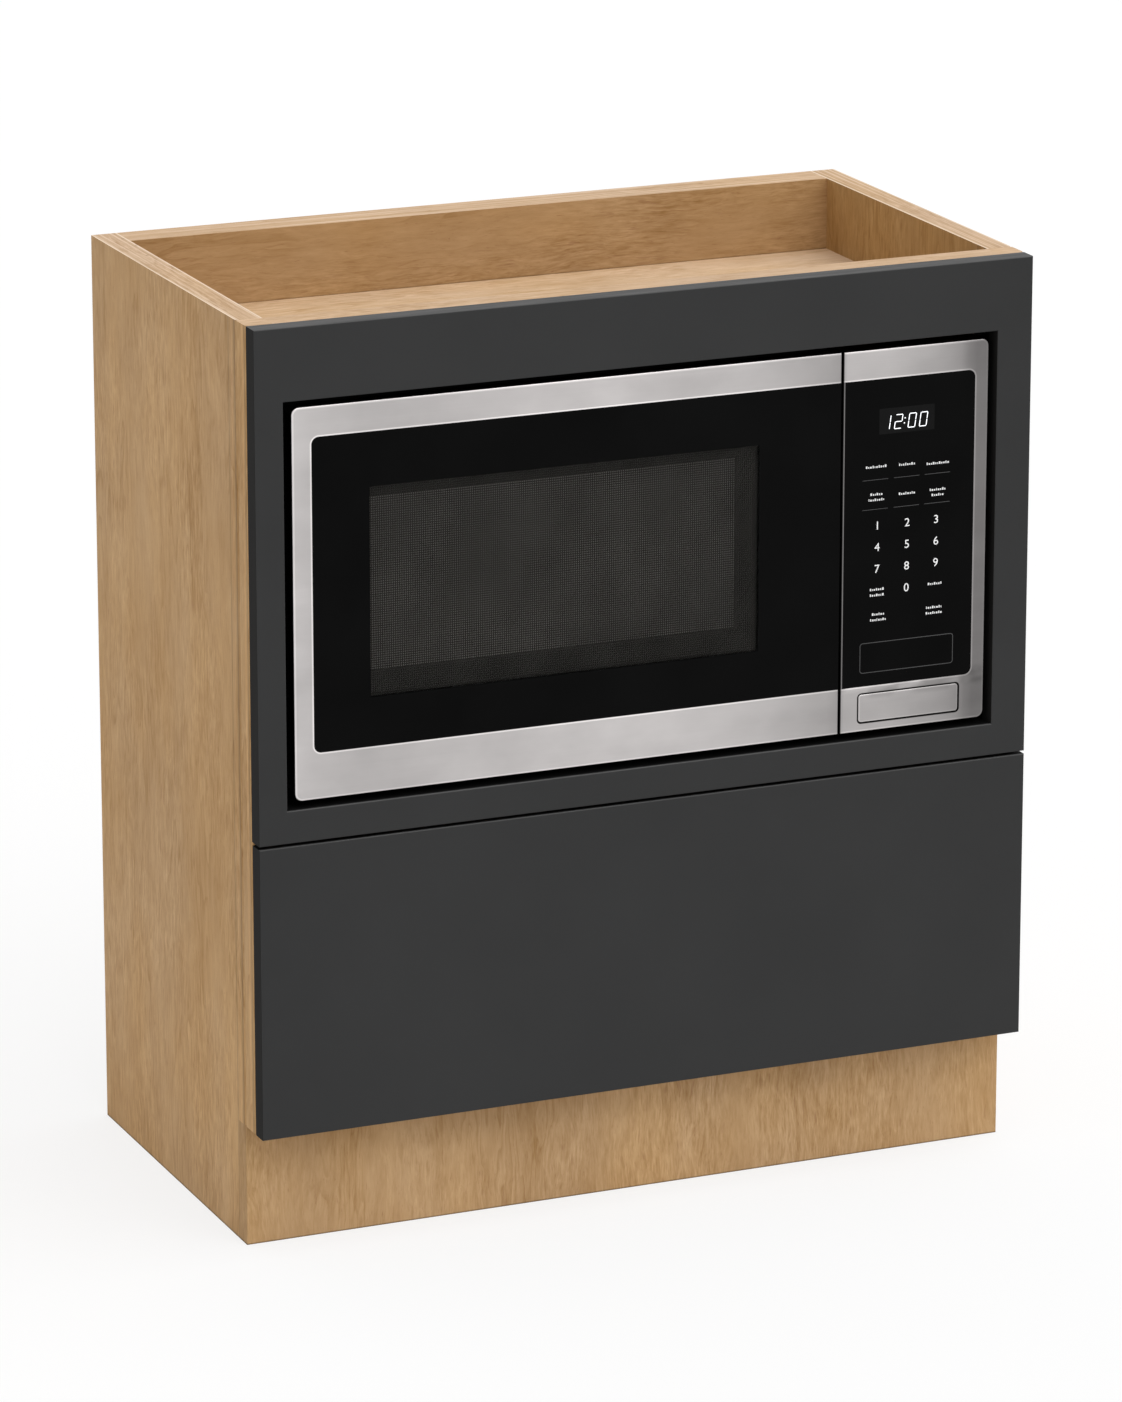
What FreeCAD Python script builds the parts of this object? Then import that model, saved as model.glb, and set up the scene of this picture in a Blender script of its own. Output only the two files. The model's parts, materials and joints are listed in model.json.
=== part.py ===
import FreeCAD, Part
import math
import os
from FreeCAD import Vector

# Microwave base cabinet: a wooden cabinet with an open well on top, a charcoal surround with a
# built-in microwave oven, and a drawer below on full-extension slides.
# Millimetres, +Z up, +X to the right seen from the front, and the front faces -Y.
# The origin is on the floor under the middle of the whole object.

# Driving dimensions of the cabinet
WIDTH = 762.0
HEIGHT = 864.0
BOX_DEPTH = 381.0
FRAME_T = 25.0
FRONT_T = 19.0
SIDE_T = 25.0
PANEL_T = 19.0
DECK_T = 12.0
TOE_H = 115.0
WELL_DEPTH = 69.0
DADO = 6.0
ARRIS = 1.2
SHOULDER_R = 4.0
GROOVE_R = 2.0

# Driving dimensions of the fronts
FRONT_GAP = 3.0
SURROUND_BOTTOM = 392.0
CUTOUT_X = (-354.0, 346.0)
CUTOUT_Z = (422.0, 797.0)

# Rails of the face frame, lowest and highest level of each
BOTTOM_RAIL_Z = (TOE_H, 140.0)
MIDDLE_RAIL_Z = (370.0, 420.0)
TOP_RAIL_Z = (793.0, HEIGHT)

# Cable cut-out in the back panel
CABLE_HOLE_X = (-310.0, -190.0)
CABLE_HOLE_Z = (680.0, 760.0)
CABLE_HOLE_R = 12.0
TOE_EDGE_R = 1.0

# Driving dimensions of the drawer
DRAWER_BOX_HALF = 343.0
DRAWER_BOX_Z = (150.0, 340.0)
DRAWER_BOX_LENGTH = 350.0
DRAWER_WALL_T = 13.0
DRAWER_FLOOR_T = 6.0
DRAWER_FRONT_T = 18.0
DRAWER_GROOVE = 6.0
DRAWER_FLOOR_LIFT = 12.0
DRAWER_EDGE_R = 2.0

# Driving dimensions of the drawer slides
SLIDE_Z = 230.0
SLIDE_Y0 = -188.0
SLIDE_LENGTH = 350.0
SLIDE_WEB = 1.2
OUTER_CHANNEL = {"web": 0.0, "lip": 10.0, "half": 22.5}
MIDDLE_CHANNEL = {"web": 3.0, "lip": 10.0, "half": 17.0}
INNER_LIP = 5.6
INNER_HALF = 12.2
BALL_ROWS = ({"in": 6.5, "level": 19.15, "r": 1.85}, {"in": 8.0, "level": 14.0, "r": 1.5})
BALL_COUNT = 8
BALL_MARGIN = 20.0
CAGE_T = 0.8
CAGE_HALF = 2.4

# Driving dimensions of the oven's face
OVEN_X = (-345.0, 339.0)
OVEN_Z = (429.0, 790.0)
OVEN_RECESS = 4.0
SEAM_X = 191.0
SEAM_GAP = 2.0
SKIN = 1.5
CORNER_R = 7.0
GLASS_X = (-326.5, 325.6)
GLASS_Z = (472.0, 762.0)
GLASS_T = 4.0
GLASS_INSET = 0.6
WINDOW_X = (-271.5, 108.5)
WINDOW_Z = (518.0, 711.5)
OPENING_X = (-262.0, 99.0)
OPENING_Z = (533.0, 696.0)
DISPLAY_X = (228.8, 284.8)
DISPLAY_Z = (709.6, 733.6)
BUTTON_X = (210.6, 312.6)
BUTTON_Z = (437.9, 464.4)
BUTTON_R = 3.0
BUTTON_ARRIS = 0.8
TRIM_ARRIS = 1.0
SEAM_R = 0.5
GLASS_SEAT = 0.2
DISPLAY_T = 1.0

# Driving dimensions of the oven's body
DOOR_T = 36.0
DOOR_GAP = 2.0
CASE_X = (-341.0, 335.0)
CASE_Z = (433.0, 779.0)
CASE_BACK = 160.0
SHEET = 1.5
CAVITY_X = (-312.0, 128.0)
CAVITY_Z = (480.0, 730.0)
CAVITY_BACK = 125.0
LOUVRES = 10
LOUVRE_Y = (60.0, 120.0)
LOUVRE_Z0 = 660.0
LOUVRE_PITCH = 9.0
LOUVRE_H = 4.0
GRILLE_SLOTS = 9
GRILLE_PITCH = 10.0
GRILLE_HALF = (2.0, 35.0)
BASE_SLOT_X = (280.0, 320.0)
BASE_SLOT_Y0 = -60.0
BASE_SLOT_PITCH = 12.0
BASE_SLOT_W = 5.0
CASE_EDGE_R = 1.0
FOOT_INSET = 40.0
FOOT_Y = (-140.0, 125.0)
FOOT_R = (10.0, 13.0)
HINGE_X = -335.0
HINGE_SETBACK = 12.0
PIN_R = 3.0
PIN_LENGTH = 9.0
PIN_CLEARANCE = 0.06
TAB_T = 2.0
TAB_HALF = 7.0
TAB_LEVELS = ((782.0, -1), (437.0, 1))
DOOR_FRAME_RETURN = 12.0
TAB_NOTCH = {"h": 14.0, "gap": 2.0}
POST = {"left": 6.0, "right": 12.0, "half": 7.0}
SCREEN_T = 0.8
PANE_T = 1.5
PANE_SETBACK = 2.0
CHOKE_X = (-334.0, 188.0)
CHOKE_Z = (438.0, 781.0)
CHOKE_WALL = 2.0
CHOKE_STEP = 28.0
POCKET_MARGIN = 4.0
POST_H = 22.0
CONTROL_HOLE_X = (205.0, 325.0)
CONTROL_HOLE_Z = (441.0, 765.0)

# Latch: one bar with two hooks, a lever that lifts it and the button that pushes the lever
HOOK_X = (165.0, 171.0)
HOOK_Z = (508.0, 700.0)
HOOK_H = 12.0
HOOK_TIP_Y = -128.0
HOOK_BARB = 3.0
HOOK_BARB_LENGTH = 10.0
HOOK_NOSE_R = 3.0
HOOK_LIFT = 3.2
HOOK_ROOM = 5.0
HOOK_SWING_ROOM = 6.0
BAR_SIDE = 3.0
BAR_DEPTH = (12.0, 22.0)
BAR_OVERHANG = (6.0, 18.0)
BUTTON_CAP_T = 8.0
BUTTON_GAP = 1.2
STEM_R = 5.0
STEM_NOSE_R = 4.6
STEM_REACH = 40.0
STEM_PLAY = 0.4
BRIDGE_DEPTH = (26.0, 28.0)
BRIDGE_HALF = 12.0
SPRING_R = 6.6
SPRING_WIRE_R = 0.6
SPRING_TURNS = 5
SPRING_FACETS = 8
LEVER_Y = -150.0
LEVER_Z = 471.0
LEVER_SHAFT_X = (158.0, 272.0)
LEVER_SHAFT_R = 4.0
LEVER_ARM_HALF = 6.0
LEVER_FREE_PLAY = 0.7
LEVER_LAP = 3.0
LEVER_ARM_DROP = 4.0
FINGER_GAP = 2.0
FINGER_Y = (-135.0, -129.0)

# Works behind the control panel
DUCT_X1 = 160.0
DUCT_Y = (-70.0, 40.0)
DUCT_Z = (590.0, 700.0)
PORT_MARGIN = 10.0
COVER_MARGIN = 4.0
COVER_T = 0.6
MAGNETRON_Y = (-58.0, 22.0)
MAGNETRON_Z = (605.0, 685.0)
MAGNETRON_L = (62.0, 78.0)
MAGNETRON_R = 18.0
YOKE_T = 3.0
FIN_COUNT = 6
FIN_T = 1.2
FIN_START = 10.0
FIN_PITCH = 9.0
FIN_MARGIN = 2.0
CORE_X = (170.0, 250.0)
CORE_Y = (-20.0, 60.0)
CORE_H = 66.0
COIL_MARGIN = (12.0, 14.0)
COIL_LEVELS = ((12.0, 30.0), (38.0, 56.0))
FAN_X = 232.0
FAN_Z = 700.0
FAN_R = 42.0
FAN_DEPTH = 27.0
FAN_SHROUD_HALF = 50.0
FAN_SHAFT_R = 2.5
FAN_HUB_R = 13.0
FAN_MOTOR_R = 21.0
FAN_MOTOR_L = 26.0
FAN_BLADES = 7
FAN_PITCH = 35.0
FAN_CLEARANCE = 3.0
FAN_MOTOR_LAP = 2.0
FAN_MOTOR_BORE = (10.0, 12.0)
FAN_ARM_HALF = 2.5
FAN_ARM_Y = (-3.0, 2.0)
FAN_ARM_REACH = 7.0
FAN_HUB_Y = 4.0
FAN_HUB_L = 18.0
FAN_SHAFT_Y = -8.0
BLADE_HALF = (9.0, 0.8)
BLADE_TIP_GAP = 1.5
BLADE_ROOT = 2.0
BLADE_Y = 13.0
GLAND_X = 290.0
GLAND_Z = 480.0
GLAND_R = 8.0
GLAND_BORE_R = 3.6
GLAND_FLANGE_T = 3.0
GLAND_CONE_L = 12.0
GLAND_RIM = {"inside": 2.5, "outside": 3.0, "tip": -1.5}

# Turntable drive
TURNTABLE_X = -92.0
TURNTABLE_Y = -22.0
TURNTABLE_R = 135.0
TRAY_T = 5.0
TRAY_RIM_H = 12.0
TRAY_SLOPE = 19.0
TRAY_LIP = 1.5
TRAY_WALL = 4.0
ROLLER_R = 6.7
ROLLER_GAP = 0.3
ROLLER_W = 6.0
ROLLER_ORBIT = 107.0
ROLLER_COUNT = 3
RING_R = (94.0, 101.0)
RING_T = 4.0
AXLE_R = 2.0
AXLE_CAP = {"gap": 0.5, "rim": 1.0, "t": 1.5}
COUPLER_HUB_R = 10.0
COUPLER_SHAFT_R = 4.0
COUPLER_HOLE_R = 8.0
COUPLER_LIFT = 2.0
COUPLER_ARM = {"reach": 26.0, "half": 3.0, "t": 6.0, "lap": 2.0}
MOTOR_R = 25.0
MOTOR_H = 18.0
MOTOR_EAR = 36.0
MOTOR_BORE_L = 11.0
MOTOR_EAR_HALF = 6.0
MOTOR_EAR_T = 2.0

# Screws
SCREW_R = 2.0
SCREW_HEAD_R = 4.2
SCREW_HEAD_H = 2.6
SCREW_TIP = 3.0
SCREW_SLOT = 2.2
SCREW_SLOT_DEPTH = 1.2
SCREW_HOLD = 12.0
SURROUND_SCREW_X = (-300.0, -100.0, 100.0, 300.0)
SURROUND_SCREW_Z = (832.0, 407.0)
FRONT_SCREW_X = (-270.0, 270.0)
FRONT_SCREW_Z = (190.0, 300.0)
SLIDE_SCREW_Y = (-160.0, -20.0, 140.0)

# Planes worked out from the driving dimensions
Y_FRONT = -(BOX_DEPTH + FRAME_T + FRONT_T) / 2
Y_FRAME = Y_FRONT + FRONT_T
Y_BOX = Y_FRAME + FRAME_T
Y_BACK = Y_BOX + BOX_DEPTH
X_OUT = WIDTH / 2
X_IN = X_OUT - SIDE_T
Y_BACK_IN = Y_BACK - PANEL_T
DECK_TOP = HEIGHT - WELL_DEPTH
SHELF_TOP = MIDDLE_RAIL_Z[1]
Y_OVEN = Y_FRONT + OVEN_RECESS
Y_DOOR_BACK = Y_OVEN + DOOR_T
Y_PLATE = Y_DOOR_BACK + DOOR_GAP
Y_HINGE = Y_OVEN + HINGE_SETBACK
DOOR_X1 = SEAM_X - SEAM_GAP / 2
CONTROL_X0 = SEAM_X + SEAM_GAP / 2
Y_DRAWER_FRONT_BACK = Y_FRONT + DRAWER_FRONT_T
CAVITY_FLOOR = CAVITY_Z[0] + SHEET
TRAY_BOTTOM = CAVITY_FLOOR + 2 * (ROLLER_R + ROLLER_GAP)
ROLLER_Z = CAVITY_FLOOR + ROLLER_R + ROLLER_GAP
MOTOR_Z = (CAVITY_Z[0] - MOTOR_H, CAVITY_Z[0])
DRAWER_Y = (Y_DRAWER_FRONT_BACK, Y_DRAWER_FRONT_BACK + DRAWER_BOX_LENGTH)
DRAWER_FLOOR_Z = (DRAWER_BOX_Z[0] + DRAWER_FLOOR_LIFT, DRAWER_BOX_Z[0] + DRAWER_FLOOR_LIFT + DRAWER_FLOOR_T)
DRAWER_INNER_HALF = DRAWER_BOX_HALF - DRAWER_WALL_T
STEM_X = (BUTTON_X[0] + BUTTON_X[1]) / 2
STEM_Z = (BUTTON_Z[0] + BUTTON_Z[1]) / 2
STEM_END_Y = Y_OVEN + STEM_REACH
BRIDGE_Y = (Y_OVEN + BRIDGE_DEPTH[0], Y_OVEN + BRIDGE_DEPTH[1])
FAN_Y = CASE_BACK - SHEET - FAN_DEPTH

# Screws: head position, direction and length
SURROUND_SCREWS = [
    ((x, Y_BOX, z), (0, -1, 0), FRAME_T + SCREW_HOLD)
    for z in SURROUND_SCREW_Z for x in SURROUND_SCREW_X
]
DRAWER_FRONT_SCREWS = [
    ((x, Y_DRAWER_FRONT_BACK + DRAWER_WALL_T, z), (0, -1, 0), DRAWER_WALL_T + SCREW_HOLD)
    for z in FRONT_SCREW_Z for x in FRONT_SCREW_X
]
SLIDE_SCREWS = [
    ((side * (X_IN - SLIDE_WEB), y, SLIDE_Z), (side, 0, 0), SLIDE_WEB + SCREW_HOLD)
    for side in (-1, 1) for y in SLIDE_SCREW_Y
]


def box(x, y, z):
    """A block between two x, two y and two z values."""
    size = (x[1] - x[0], y[1] - y[0], z[1] - z[0])
    return Part.makeBox(*size, Vector(x[0], y[0], z[0]))


def rod(start, direction, radius, length):
    """A round bar from a start point along a direction."""
    return Part.makeCylinder(radius, length, Vector(*start), Vector(*direction))


def tube(start, direction, outer, inner, length):
    """A round sleeve."""
    return rod(start, direction, outer, length).cut(rod(start, direction, inner, length))


def join(pieces):
    """One solid from pieces that touch or overlap."""
    whole = pieces[0]
    for piece in pieces[1:]:
        whole = whole.fuse(piece)
    return whole.removeSplitter()


def group(pieces):
    """Separate solids kept together in one node."""
    return Part.makeCompound(pieces)


def round_edges(shape, radius, wanted):
    """Rounds the edges whose two end points both pass the test."""
    edges = []
    for edge in shape.Edges:
        if all(wanted(vertex.Point) for vertex in edge.Vertexes) and len(edge.Vertexes) == 2:
            edges.append(edge)
    return shape.makeFillet(radius, edges)


def near(value, target):
    return abs(value - target) < 1e-4


def inset(span, amount):
    return (span[0] + amount, span[1] - amount)


def upright_plate(x, y, z, radii):
    """A plate that stands in the XZ plane, with its own radius at each corner.

    The radii are those of the low left, low right, high right and high left corners.
    """
    corners = [(x[0], z[0]), (x[1], z[0]), (x[1], z[1]), (x[0], z[1])]
    inward = [(1, 1), (-1, 1), (-1, -1), (1, -1)]
    edges = []
    path = []
    for number, ((cx, cz), (sx, sz), r) in enumerate(zip(corners, inward, radii)):
        along_x = Vector(cx + sx * r, y[0], cz)
        along_z = Vector(cx, y[0], cz + sz * r)
        first, last = (along_z, along_x) if number % 2 == 0 else (along_x, along_z)
        bulge = r * (1 - math.sqrt(0.5))
        middle = Vector(cx + sx * bulge, y[0], cz + sz * bulge)
        path.append((first, middle, last, r))
    for number, (first, middle, last, r) in enumerate(path):
        if r > 0:
            edges.append(Part.Arc(first, middle, last).toShape())
        following = path[(number + 1) % len(path)][0]
        edges.append(Part.LineSegment(last, following).toShape())
    face = Part.Face(Part.Wire(edges))
    return face.extrude(Vector(0, y[1] - y[0], 0))


def screw_blank(head, direction, length):
    """The outer form of a countersunk screw, which is also the hole that it leaves."""
    axis = Vector(*direction)
    start = Vector(*head)
    cone = Part.makeCone(SCREW_HEAD_R, SCREW_R, SCREW_HEAD_H, start, axis)
    shank = Part.makeCylinder(SCREW_R, length - SCREW_TIP, start, axis)
    point = Part.makeCone(SCREW_R, SCREW_R / 3, SCREW_TIP, start + axis * (length - SCREW_TIP), axis)
    return cone.fuse(shank).fuse(point).removeSplitter()


def screw(head, direction, length):
    """A countersunk screw with a cross recess, flush with the surface that it enters."""
    body = screw_blank(head, direction, length)
    axis = Vector(*direction)
    across = Vector(1, 0, 0) if abs(axis.x) < 0.5 else Vector(0, 1, 0)
    for side in (across, axis.cross(across)):
        turned = axis.cross(side)
        slot = box((-SCREW_SLOT, SCREW_SLOT), (-SCREW_SLOT / 5, SCREW_SLOT / 5), (0, SCREW_SLOT_DEPTH))
        slot = slot.transformGeometry(FreeCAD.Matrix(
            side.x, turned.x, axis.x, head[0],
            side.y, turned.y, axis.y, head[1],
            side.z, turned.z, axis.z, head[2],
            0, 0, 0, 1))
        body = body.cut(slot)
    return body


def holes(places):
    return group([screw_blank(*place) for place in places])


def screws(places):
    return group([screw(*place) for place in places])


# Cabinet

def side_panel(side):
    """A side with its toe notch and the grooves that carry the deck, shelf and bottom."""
    inner = side * X_IN
    outer = side * X_OUT
    x = sorted((inner, outer))
    panel = box(x, (Y_BOX, Y_BACK), (0, HEIGHT))
    panel = panel.cut(box(x, (Y_BOX, Y_BOX + PANEL_T), (0, TOE_H)))
    groove_x = sorted((inner, inner + side * DADO))
    for z in ((TOE_H, TOE_H + PANEL_T), (SHELF_TOP - PANEL_T, SHELF_TOP), (DECK_TOP - DECK_T, DECK_TOP)):
        panel = panel.cut(box(groove_x, (Y_BOX, Y_BACK_IN), z))
    front = lambda p: near(p.x, outer) and near(p.y, Y_BOX) and p.z > TOE_H - 1
    panel = round_edges(panel, SHOULDER_R, front)
    return panel.cut(holes(SLIDE_SCREWS))


def back_panel():
    panel = box((-X_IN, X_IN), (Y_BACK_IN, Y_BACK), (0, HEIGHT))
    hole = upright_plate(CABLE_HOLE_X, (Y_BACK_IN, Y_BACK), CABLE_HOLE_Z, (CABLE_HOLE_R,) * 4)
    return panel.cut(hole)


def hanging_rail():
    return box((-X_IN, X_IN), (Y_BACK_IN - PANEL_T, Y_BACK_IN), (DECK_TOP, HEIGHT))


def grooved_board(z):
    """A level board whose ends sit in the side panels' grooves."""
    reach = X_IN + DADO
    return box((-reach, reach), (Y_BOX, Y_BACK_IN), z)


def toe_kick_board():
    board = box((-X_OUT, X_OUT), (Y_BOX, Y_BOX + PANEL_T), (0, TOE_H))
    corner = lambda p: near(abs(p.x), X_OUT) and near(p.y, Y_BOX)
    return round_edges(board, TOE_EDGE_R, corner)


def stile(side):
    """An upright of the face frame, rounded where it meets the front and the side panel."""
    x = sorted((side * X_IN, side * X_OUT))
    post = box(x, (Y_FRAME, Y_BOX), (TOE_H, HEIGHT))
    for y, radius in ((Y_FRAME, SHOULDER_R), (Y_BOX, GROOVE_R)):
        post = round_edges(post, radius, lambda p: near(p.x, side * X_OUT) and near(p.y, y))
    return post


def rail(z):
    board = box((-X_IN, X_IN), (Y_FRAME, Y_BOX), z)
    return board.cut(holes(SURROUND_SCREWS))


def upper_front_panel():
    """The charcoal surround with its cut-out for the oven."""
    panel = box((-X_OUT, X_OUT), (Y_FRONT, Y_FRAME), (SURROUND_BOTTOM, HEIGHT))
    panel = panel.cut(box(CUTOUT_X, (Y_FRONT, Y_FRAME), CUTOUT_Z))
    panel = round_edges(panel, ARRIS, lambda p: near(p.y, Y_FRONT))
    return panel.cut(holes(SURROUND_SCREWS))


# Drawer

def drawer_front():
    top = SURROUND_BOTTOM - FRONT_GAP
    front = box((-X_OUT, X_OUT), (Y_FRONT, Y_DRAWER_FRONT_BACK), (TOE_H, top))
    front = round_edges(front, ARRIS, lambda p: near(p.y, Y_FRONT))
    return front.cut(holes(DRAWER_FRONT_SCREWS))


def drawer_floor():
    """The bottom board: it sits in grooves and runs under the back."""
    reach = DRAWER_INNER_HALF + DRAWER_GROOVE
    y = (DRAWER_Y[0] + DRAWER_WALL_T - DRAWER_GROOVE, DRAWER_Y[1])
    return box((-reach, reach), y, DRAWER_FLOOR_Z)


def drawer_box_side(side):
    x = sorted((side * DRAWER_INNER_HALF, side * DRAWER_BOX_HALF))
    wall = box(x, DRAWER_Y, DRAWER_BOX_Z)
    outer_top = lambda p: near(p.z, DRAWER_BOX_Z[1]) and near(abs(p.x), DRAWER_BOX_HALF)
    return round_edges(wall, DRAWER_EDGE_R, outer_top).cut(drawer_floor())


def drawer_box_front():
    x = (-DRAWER_INNER_HALF, DRAWER_INNER_HALF)
    board = box(x, (DRAWER_Y[0], DRAWER_Y[0] + DRAWER_WALL_T), DRAWER_BOX_Z)
    return board.cut(drawer_floor()).cut(holes(DRAWER_FRONT_SCREWS))


def drawer_box_back():
    x = (-DRAWER_INNER_HALF, DRAWER_INNER_HALF)
    return box(x, (DRAWER_Y[1] - DRAWER_WALL_T, DRAWER_Y[1]), (DRAWER_FLOOR_Z[1], DRAWER_BOX_Z[1]))


# Drawer slides: three nested channels with rows of balls between them

def channel(side, web_x, lip_x, half_height):
    """A C channel along Y. Its web stands at web_x and its lips reach to lip_x."""
    y = (SLIDE_Y0, SLIDE_Y0 + SLIDE_LENGTH)
    z = (SLIDE_Z - half_height, SLIDE_Z + half_height)
    towards = 1 if abs(lip_x) > abs(web_x) else -1
    outer = box(sorted((side * web_x, side * lip_x)), y, z)
    hollow_x = sorted((side * (web_x + towards * SLIDE_WEB), side * lip_x))
    hollow_z = (z[0] + SLIDE_WEB, z[1] - SLIDE_WEB)
    return outer.cut(box(hollow_x, y, hollow_z))


def slide_outer(side):
    form = OUTER_CHANNEL
    member = channel(side, X_IN - form["web"], X_IN - form["lip"], form["half"])
    return member.cut(holes(SLIDE_SCREWS))


def ball_row(side, form, way):
    """A row of balls held in a thin retainer strip, above or below the middle member."""
    x = side * (X_IN - form["in"])
    z = SLIDE_Z + way * form["level"]
    y0 = SLIDE_Y0 + BALL_MARGIN
    pitch = (SLIDE_LENGTH - 2 * BALL_MARGIN) / (BALL_COUNT - 1)
    strip_y = (y0 - 2 * CAGE_HALF, y0 + pitch * (BALL_COUNT - 1) + 2 * CAGE_HALF)
    row = [box((x - CAGE_HALF, x + CAGE_HALF), strip_y, (z - CAGE_T / 2, z + CAGE_T / 2))]
    for number in range(BALL_COUNT):
        row.append(Part.makeSphere(form["r"], Vector(x, y0 + number * pitch, z)))
    return join(row)


def slide_middle(side):
    """The middle member with its four rows of balls."""
    form = MIDDLE_CHANNEL
    member = channel(side, X_IN - form["web"], X_IN - form["lip"], form["half"])
    rows = [ball_row(side, row, way) for row in BALL_ROWS for way in (1, -1)]
    return group([member] + rows)


def slide_inner(side):
    return channel(side, DRAWER_BOX_HALF, X_IN - INNER_LIP, INNER_HALF)


# Oven: fixed shell and cavity

def cavity_liner():
    """The cooking cavity, welded from flat sheets, open at the front, with a port in its right wall."""
    x, z = CAVITY_X, CAVITY_Z
    y = (Y_PLATE + SHEET, CAVITY_BACK)
    wall_y = (y[0], y[1] - SHEET)
    wall_z = inset(z, SHEET)
    floor = box(x, y, (z[0], wall_z[0]))
    floor = floor.cut(rod((TURNTABLE_X, TURNTABLE_Y, z[0]), (0, 0, 1), COUPLER_HOLE_R, SHEET))
    ceiling = box(x, y, (wall_z[1], z[1]))
    back = box(x, (wall_y[1], y[1]), wall_z)
    left = box((x[0], x[0] + SHEET), wall_y, wall_z)
    right = box((x[1] - SHEET, x[1]), wall_y, wall_z)
    right = right.cut(box((x[1] - SHEET, x[1]), inset(DUCT_Y, PORT_MARGIN), inset(DUCT_Z, PORT_MARGIN)))
    return group([floor, ceiling, back, left, right])


def waveguide_duct():
    """The box that leads from the magnetron to the cavity's port."""
    duct = box((CAVITY_X[1], DUCT_X1), DUCT_Y, DUCT_Z)
    hollow = box((CAVITY_X[1], DUCT_X1 - SHEET), inset(DUCT_Y, SHEET), inset(DUCT_Z, SHEET))
    return duct.cut(hollow)


def hook_slots(x, y):
    """Slots that let the hooks through, tall enough for their lift."""
    slots = []
    for z in HOOK_Z:
        low = z - HOOK_BARB - HOOK_ROOM
        high = z + HOOK_H + HOOK_LIFT + HOOK_ROOM
        slots.append(box(x, y, (low, high)))
    return group(slots)


def cavity_front_plate():
    """The flat plate that the door closes against, welded from straight strips.

    The uprights run the full height, and the level strips fill in between them.
    """
    y = (Y_PLATE, Y_PLATE + SHEET)
    mouth = (inset(CAVITY_X, SHEET), inset(CAVITY_Z, SHEET))
    strips = [box((CASE_X[0], mouth[0][0]), y, CASE_Z), box((CONTROL_HOLE_X[1], CASE_X[1]), y, CASE_Z)]
    for x, z in (mouth, (CONTROL_HOLE_X, CONTROL_HOLE_Z)):
        strips.append(box(x, y, (CASE_Z[0], z[0])))
        strips.append(box(x, y, (z[1], CASE_Z[1])))
    middle = box((mouth[0][1], CONTROL_HOLE_X[0]), y, CASE_Z)
    strips.append(middle.cut(hook_slots((HOOK_X[0] - BAR_SIDE, HOOK_X[1] + HOOK_SWING_ROOM), y)))
    return group(strips)


def microwave_case():
    """The sheet cover over the top and both sides, with louvres at the left."""
    y = (Y_PLATE + SHEET, CASE_BACK)
    outer = box(CASE_X, y, CASE_Z)
    hollow = box(inset(CASE_X, SHEET), y, (CASE_Z[0], CASE_Z[1] - SHEET))
    cover = outer.cut(hollow)
    corner = lambda p: near(p.z, CASE_Z[1]) and (near(p.x, CASE_X[0]) or near(p.x, CASE_X[1]))
    cover = round_edges(cover, CASE_EDGE_R, corner)
    slots = []
    for number in range(LOUVRES):
        z = LOUVRE_Z0 + number * LOUVRE_PITCH
        slots.append(box((CASE_X[0], CASE_X[0] + SHEET), LOUVRE_Y, (z, z + LOUVRE_H)))
    return cover.cut(group(slots))


def microwave_chassis():
    """The base with its air slots and the back with its fan grille."""
    x = inset(CASE_X, SHEET)
    base_z = (CASE_Z[0], CASE_Z[0] + SHEET)
    base = box(x, (Y_PLATE + SHEET, CASE_BACK), base_z)
    back_y = (CASE_BACK - SHEET, CASE_BACK)
    back = box(x, back_y, (CASE_Z[0], CASE_Z[1] - SHEET))
    cuts = [rod((GLAND_X, back_y[0], GLAND_Z), (0, 1, 0), GLAND_R, SHEET)]
    for number in range(GRILLE_SLOTS):
        slot_x = FAN_X + (number - (GRILLE_SLOTS - 1) / 2) * GRILLE_PITCH
        slot_z = (FAN_Z - GRILLE_HALF[1], FAN_Z + GRILLE_HALF[1])
        cuts.append(box((slot_x - GRILLE_HALF[0], slot_x + GRILLE_HALF[0]), back_y, slot_z))
        slot_y = BASE_SLOT_Y0 + number * BASE_SLOT_PITCH
        cuts.append(box(BASE_SLOT_X, (slot_y, slot_y + BASE_SLOT_W), base_z))
    return join([base, back]).cut(group(cuts))


def power_cord_gland():
    """The bushing where a mains lead enters, with a flange on each side of the sheet."""
    along = (0, 1, 0)
    y0 = CASE_BACK - SHEET - GLAND_FLANGE_T
    inside = rod((GLAND_X, y0, GLAND_Z), along, GLAND_R + GLAND_RIM["inside"], GLAND_FLANGE_T)
    neck = rod((GLAND_X, CASE_BACK - SHEET, GLAND_Z), along, GLAND_R, SHEET)
    mouth = Vector(GLAND_X, CASE_BACK, GLAND_Z)
    radii = (GLAND_R + GLAND_RIM["outside"], GLAND_R + GLAND_RIM["tip"])
    outside = Part.makeCone(*radii, GLAND_CONE_L, mouth, Vector(*along))
    bore_length = GLAND_FLANGE_T + SHEET + GLAND_CONE_L
    bore = rod((GLAND_X, y0, GLAND_Z), along, GLAND_BORE_R, bore_length)
    return join([inside, neck, outside]).cut(bore)


def microwave_feet():
    feet = []
    for x in inset(CASE_X, FOOT_INSET):
        for y in FOOT_Y:
            place = Vector(x, y, SHELF_TOP)
            feet.append(Part.makeCone(FOOT_R[0], FOOT_R[1], CASE_Z[0] - SHELF_TOP, place, Vector(0, 0, 1)))
    return group(feet)


def waveguide_cover():
    """The thin sheet over the duct's port, on the inside of the cavity's right wall."""
    x1 = CAVITY_X[1] - SHEET
    return box((x1 - COVER_T, x1), inset(DUCT_Y, COVER_MARGIN), inset(DUCT_Z, COVER_MARGIN))


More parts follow.
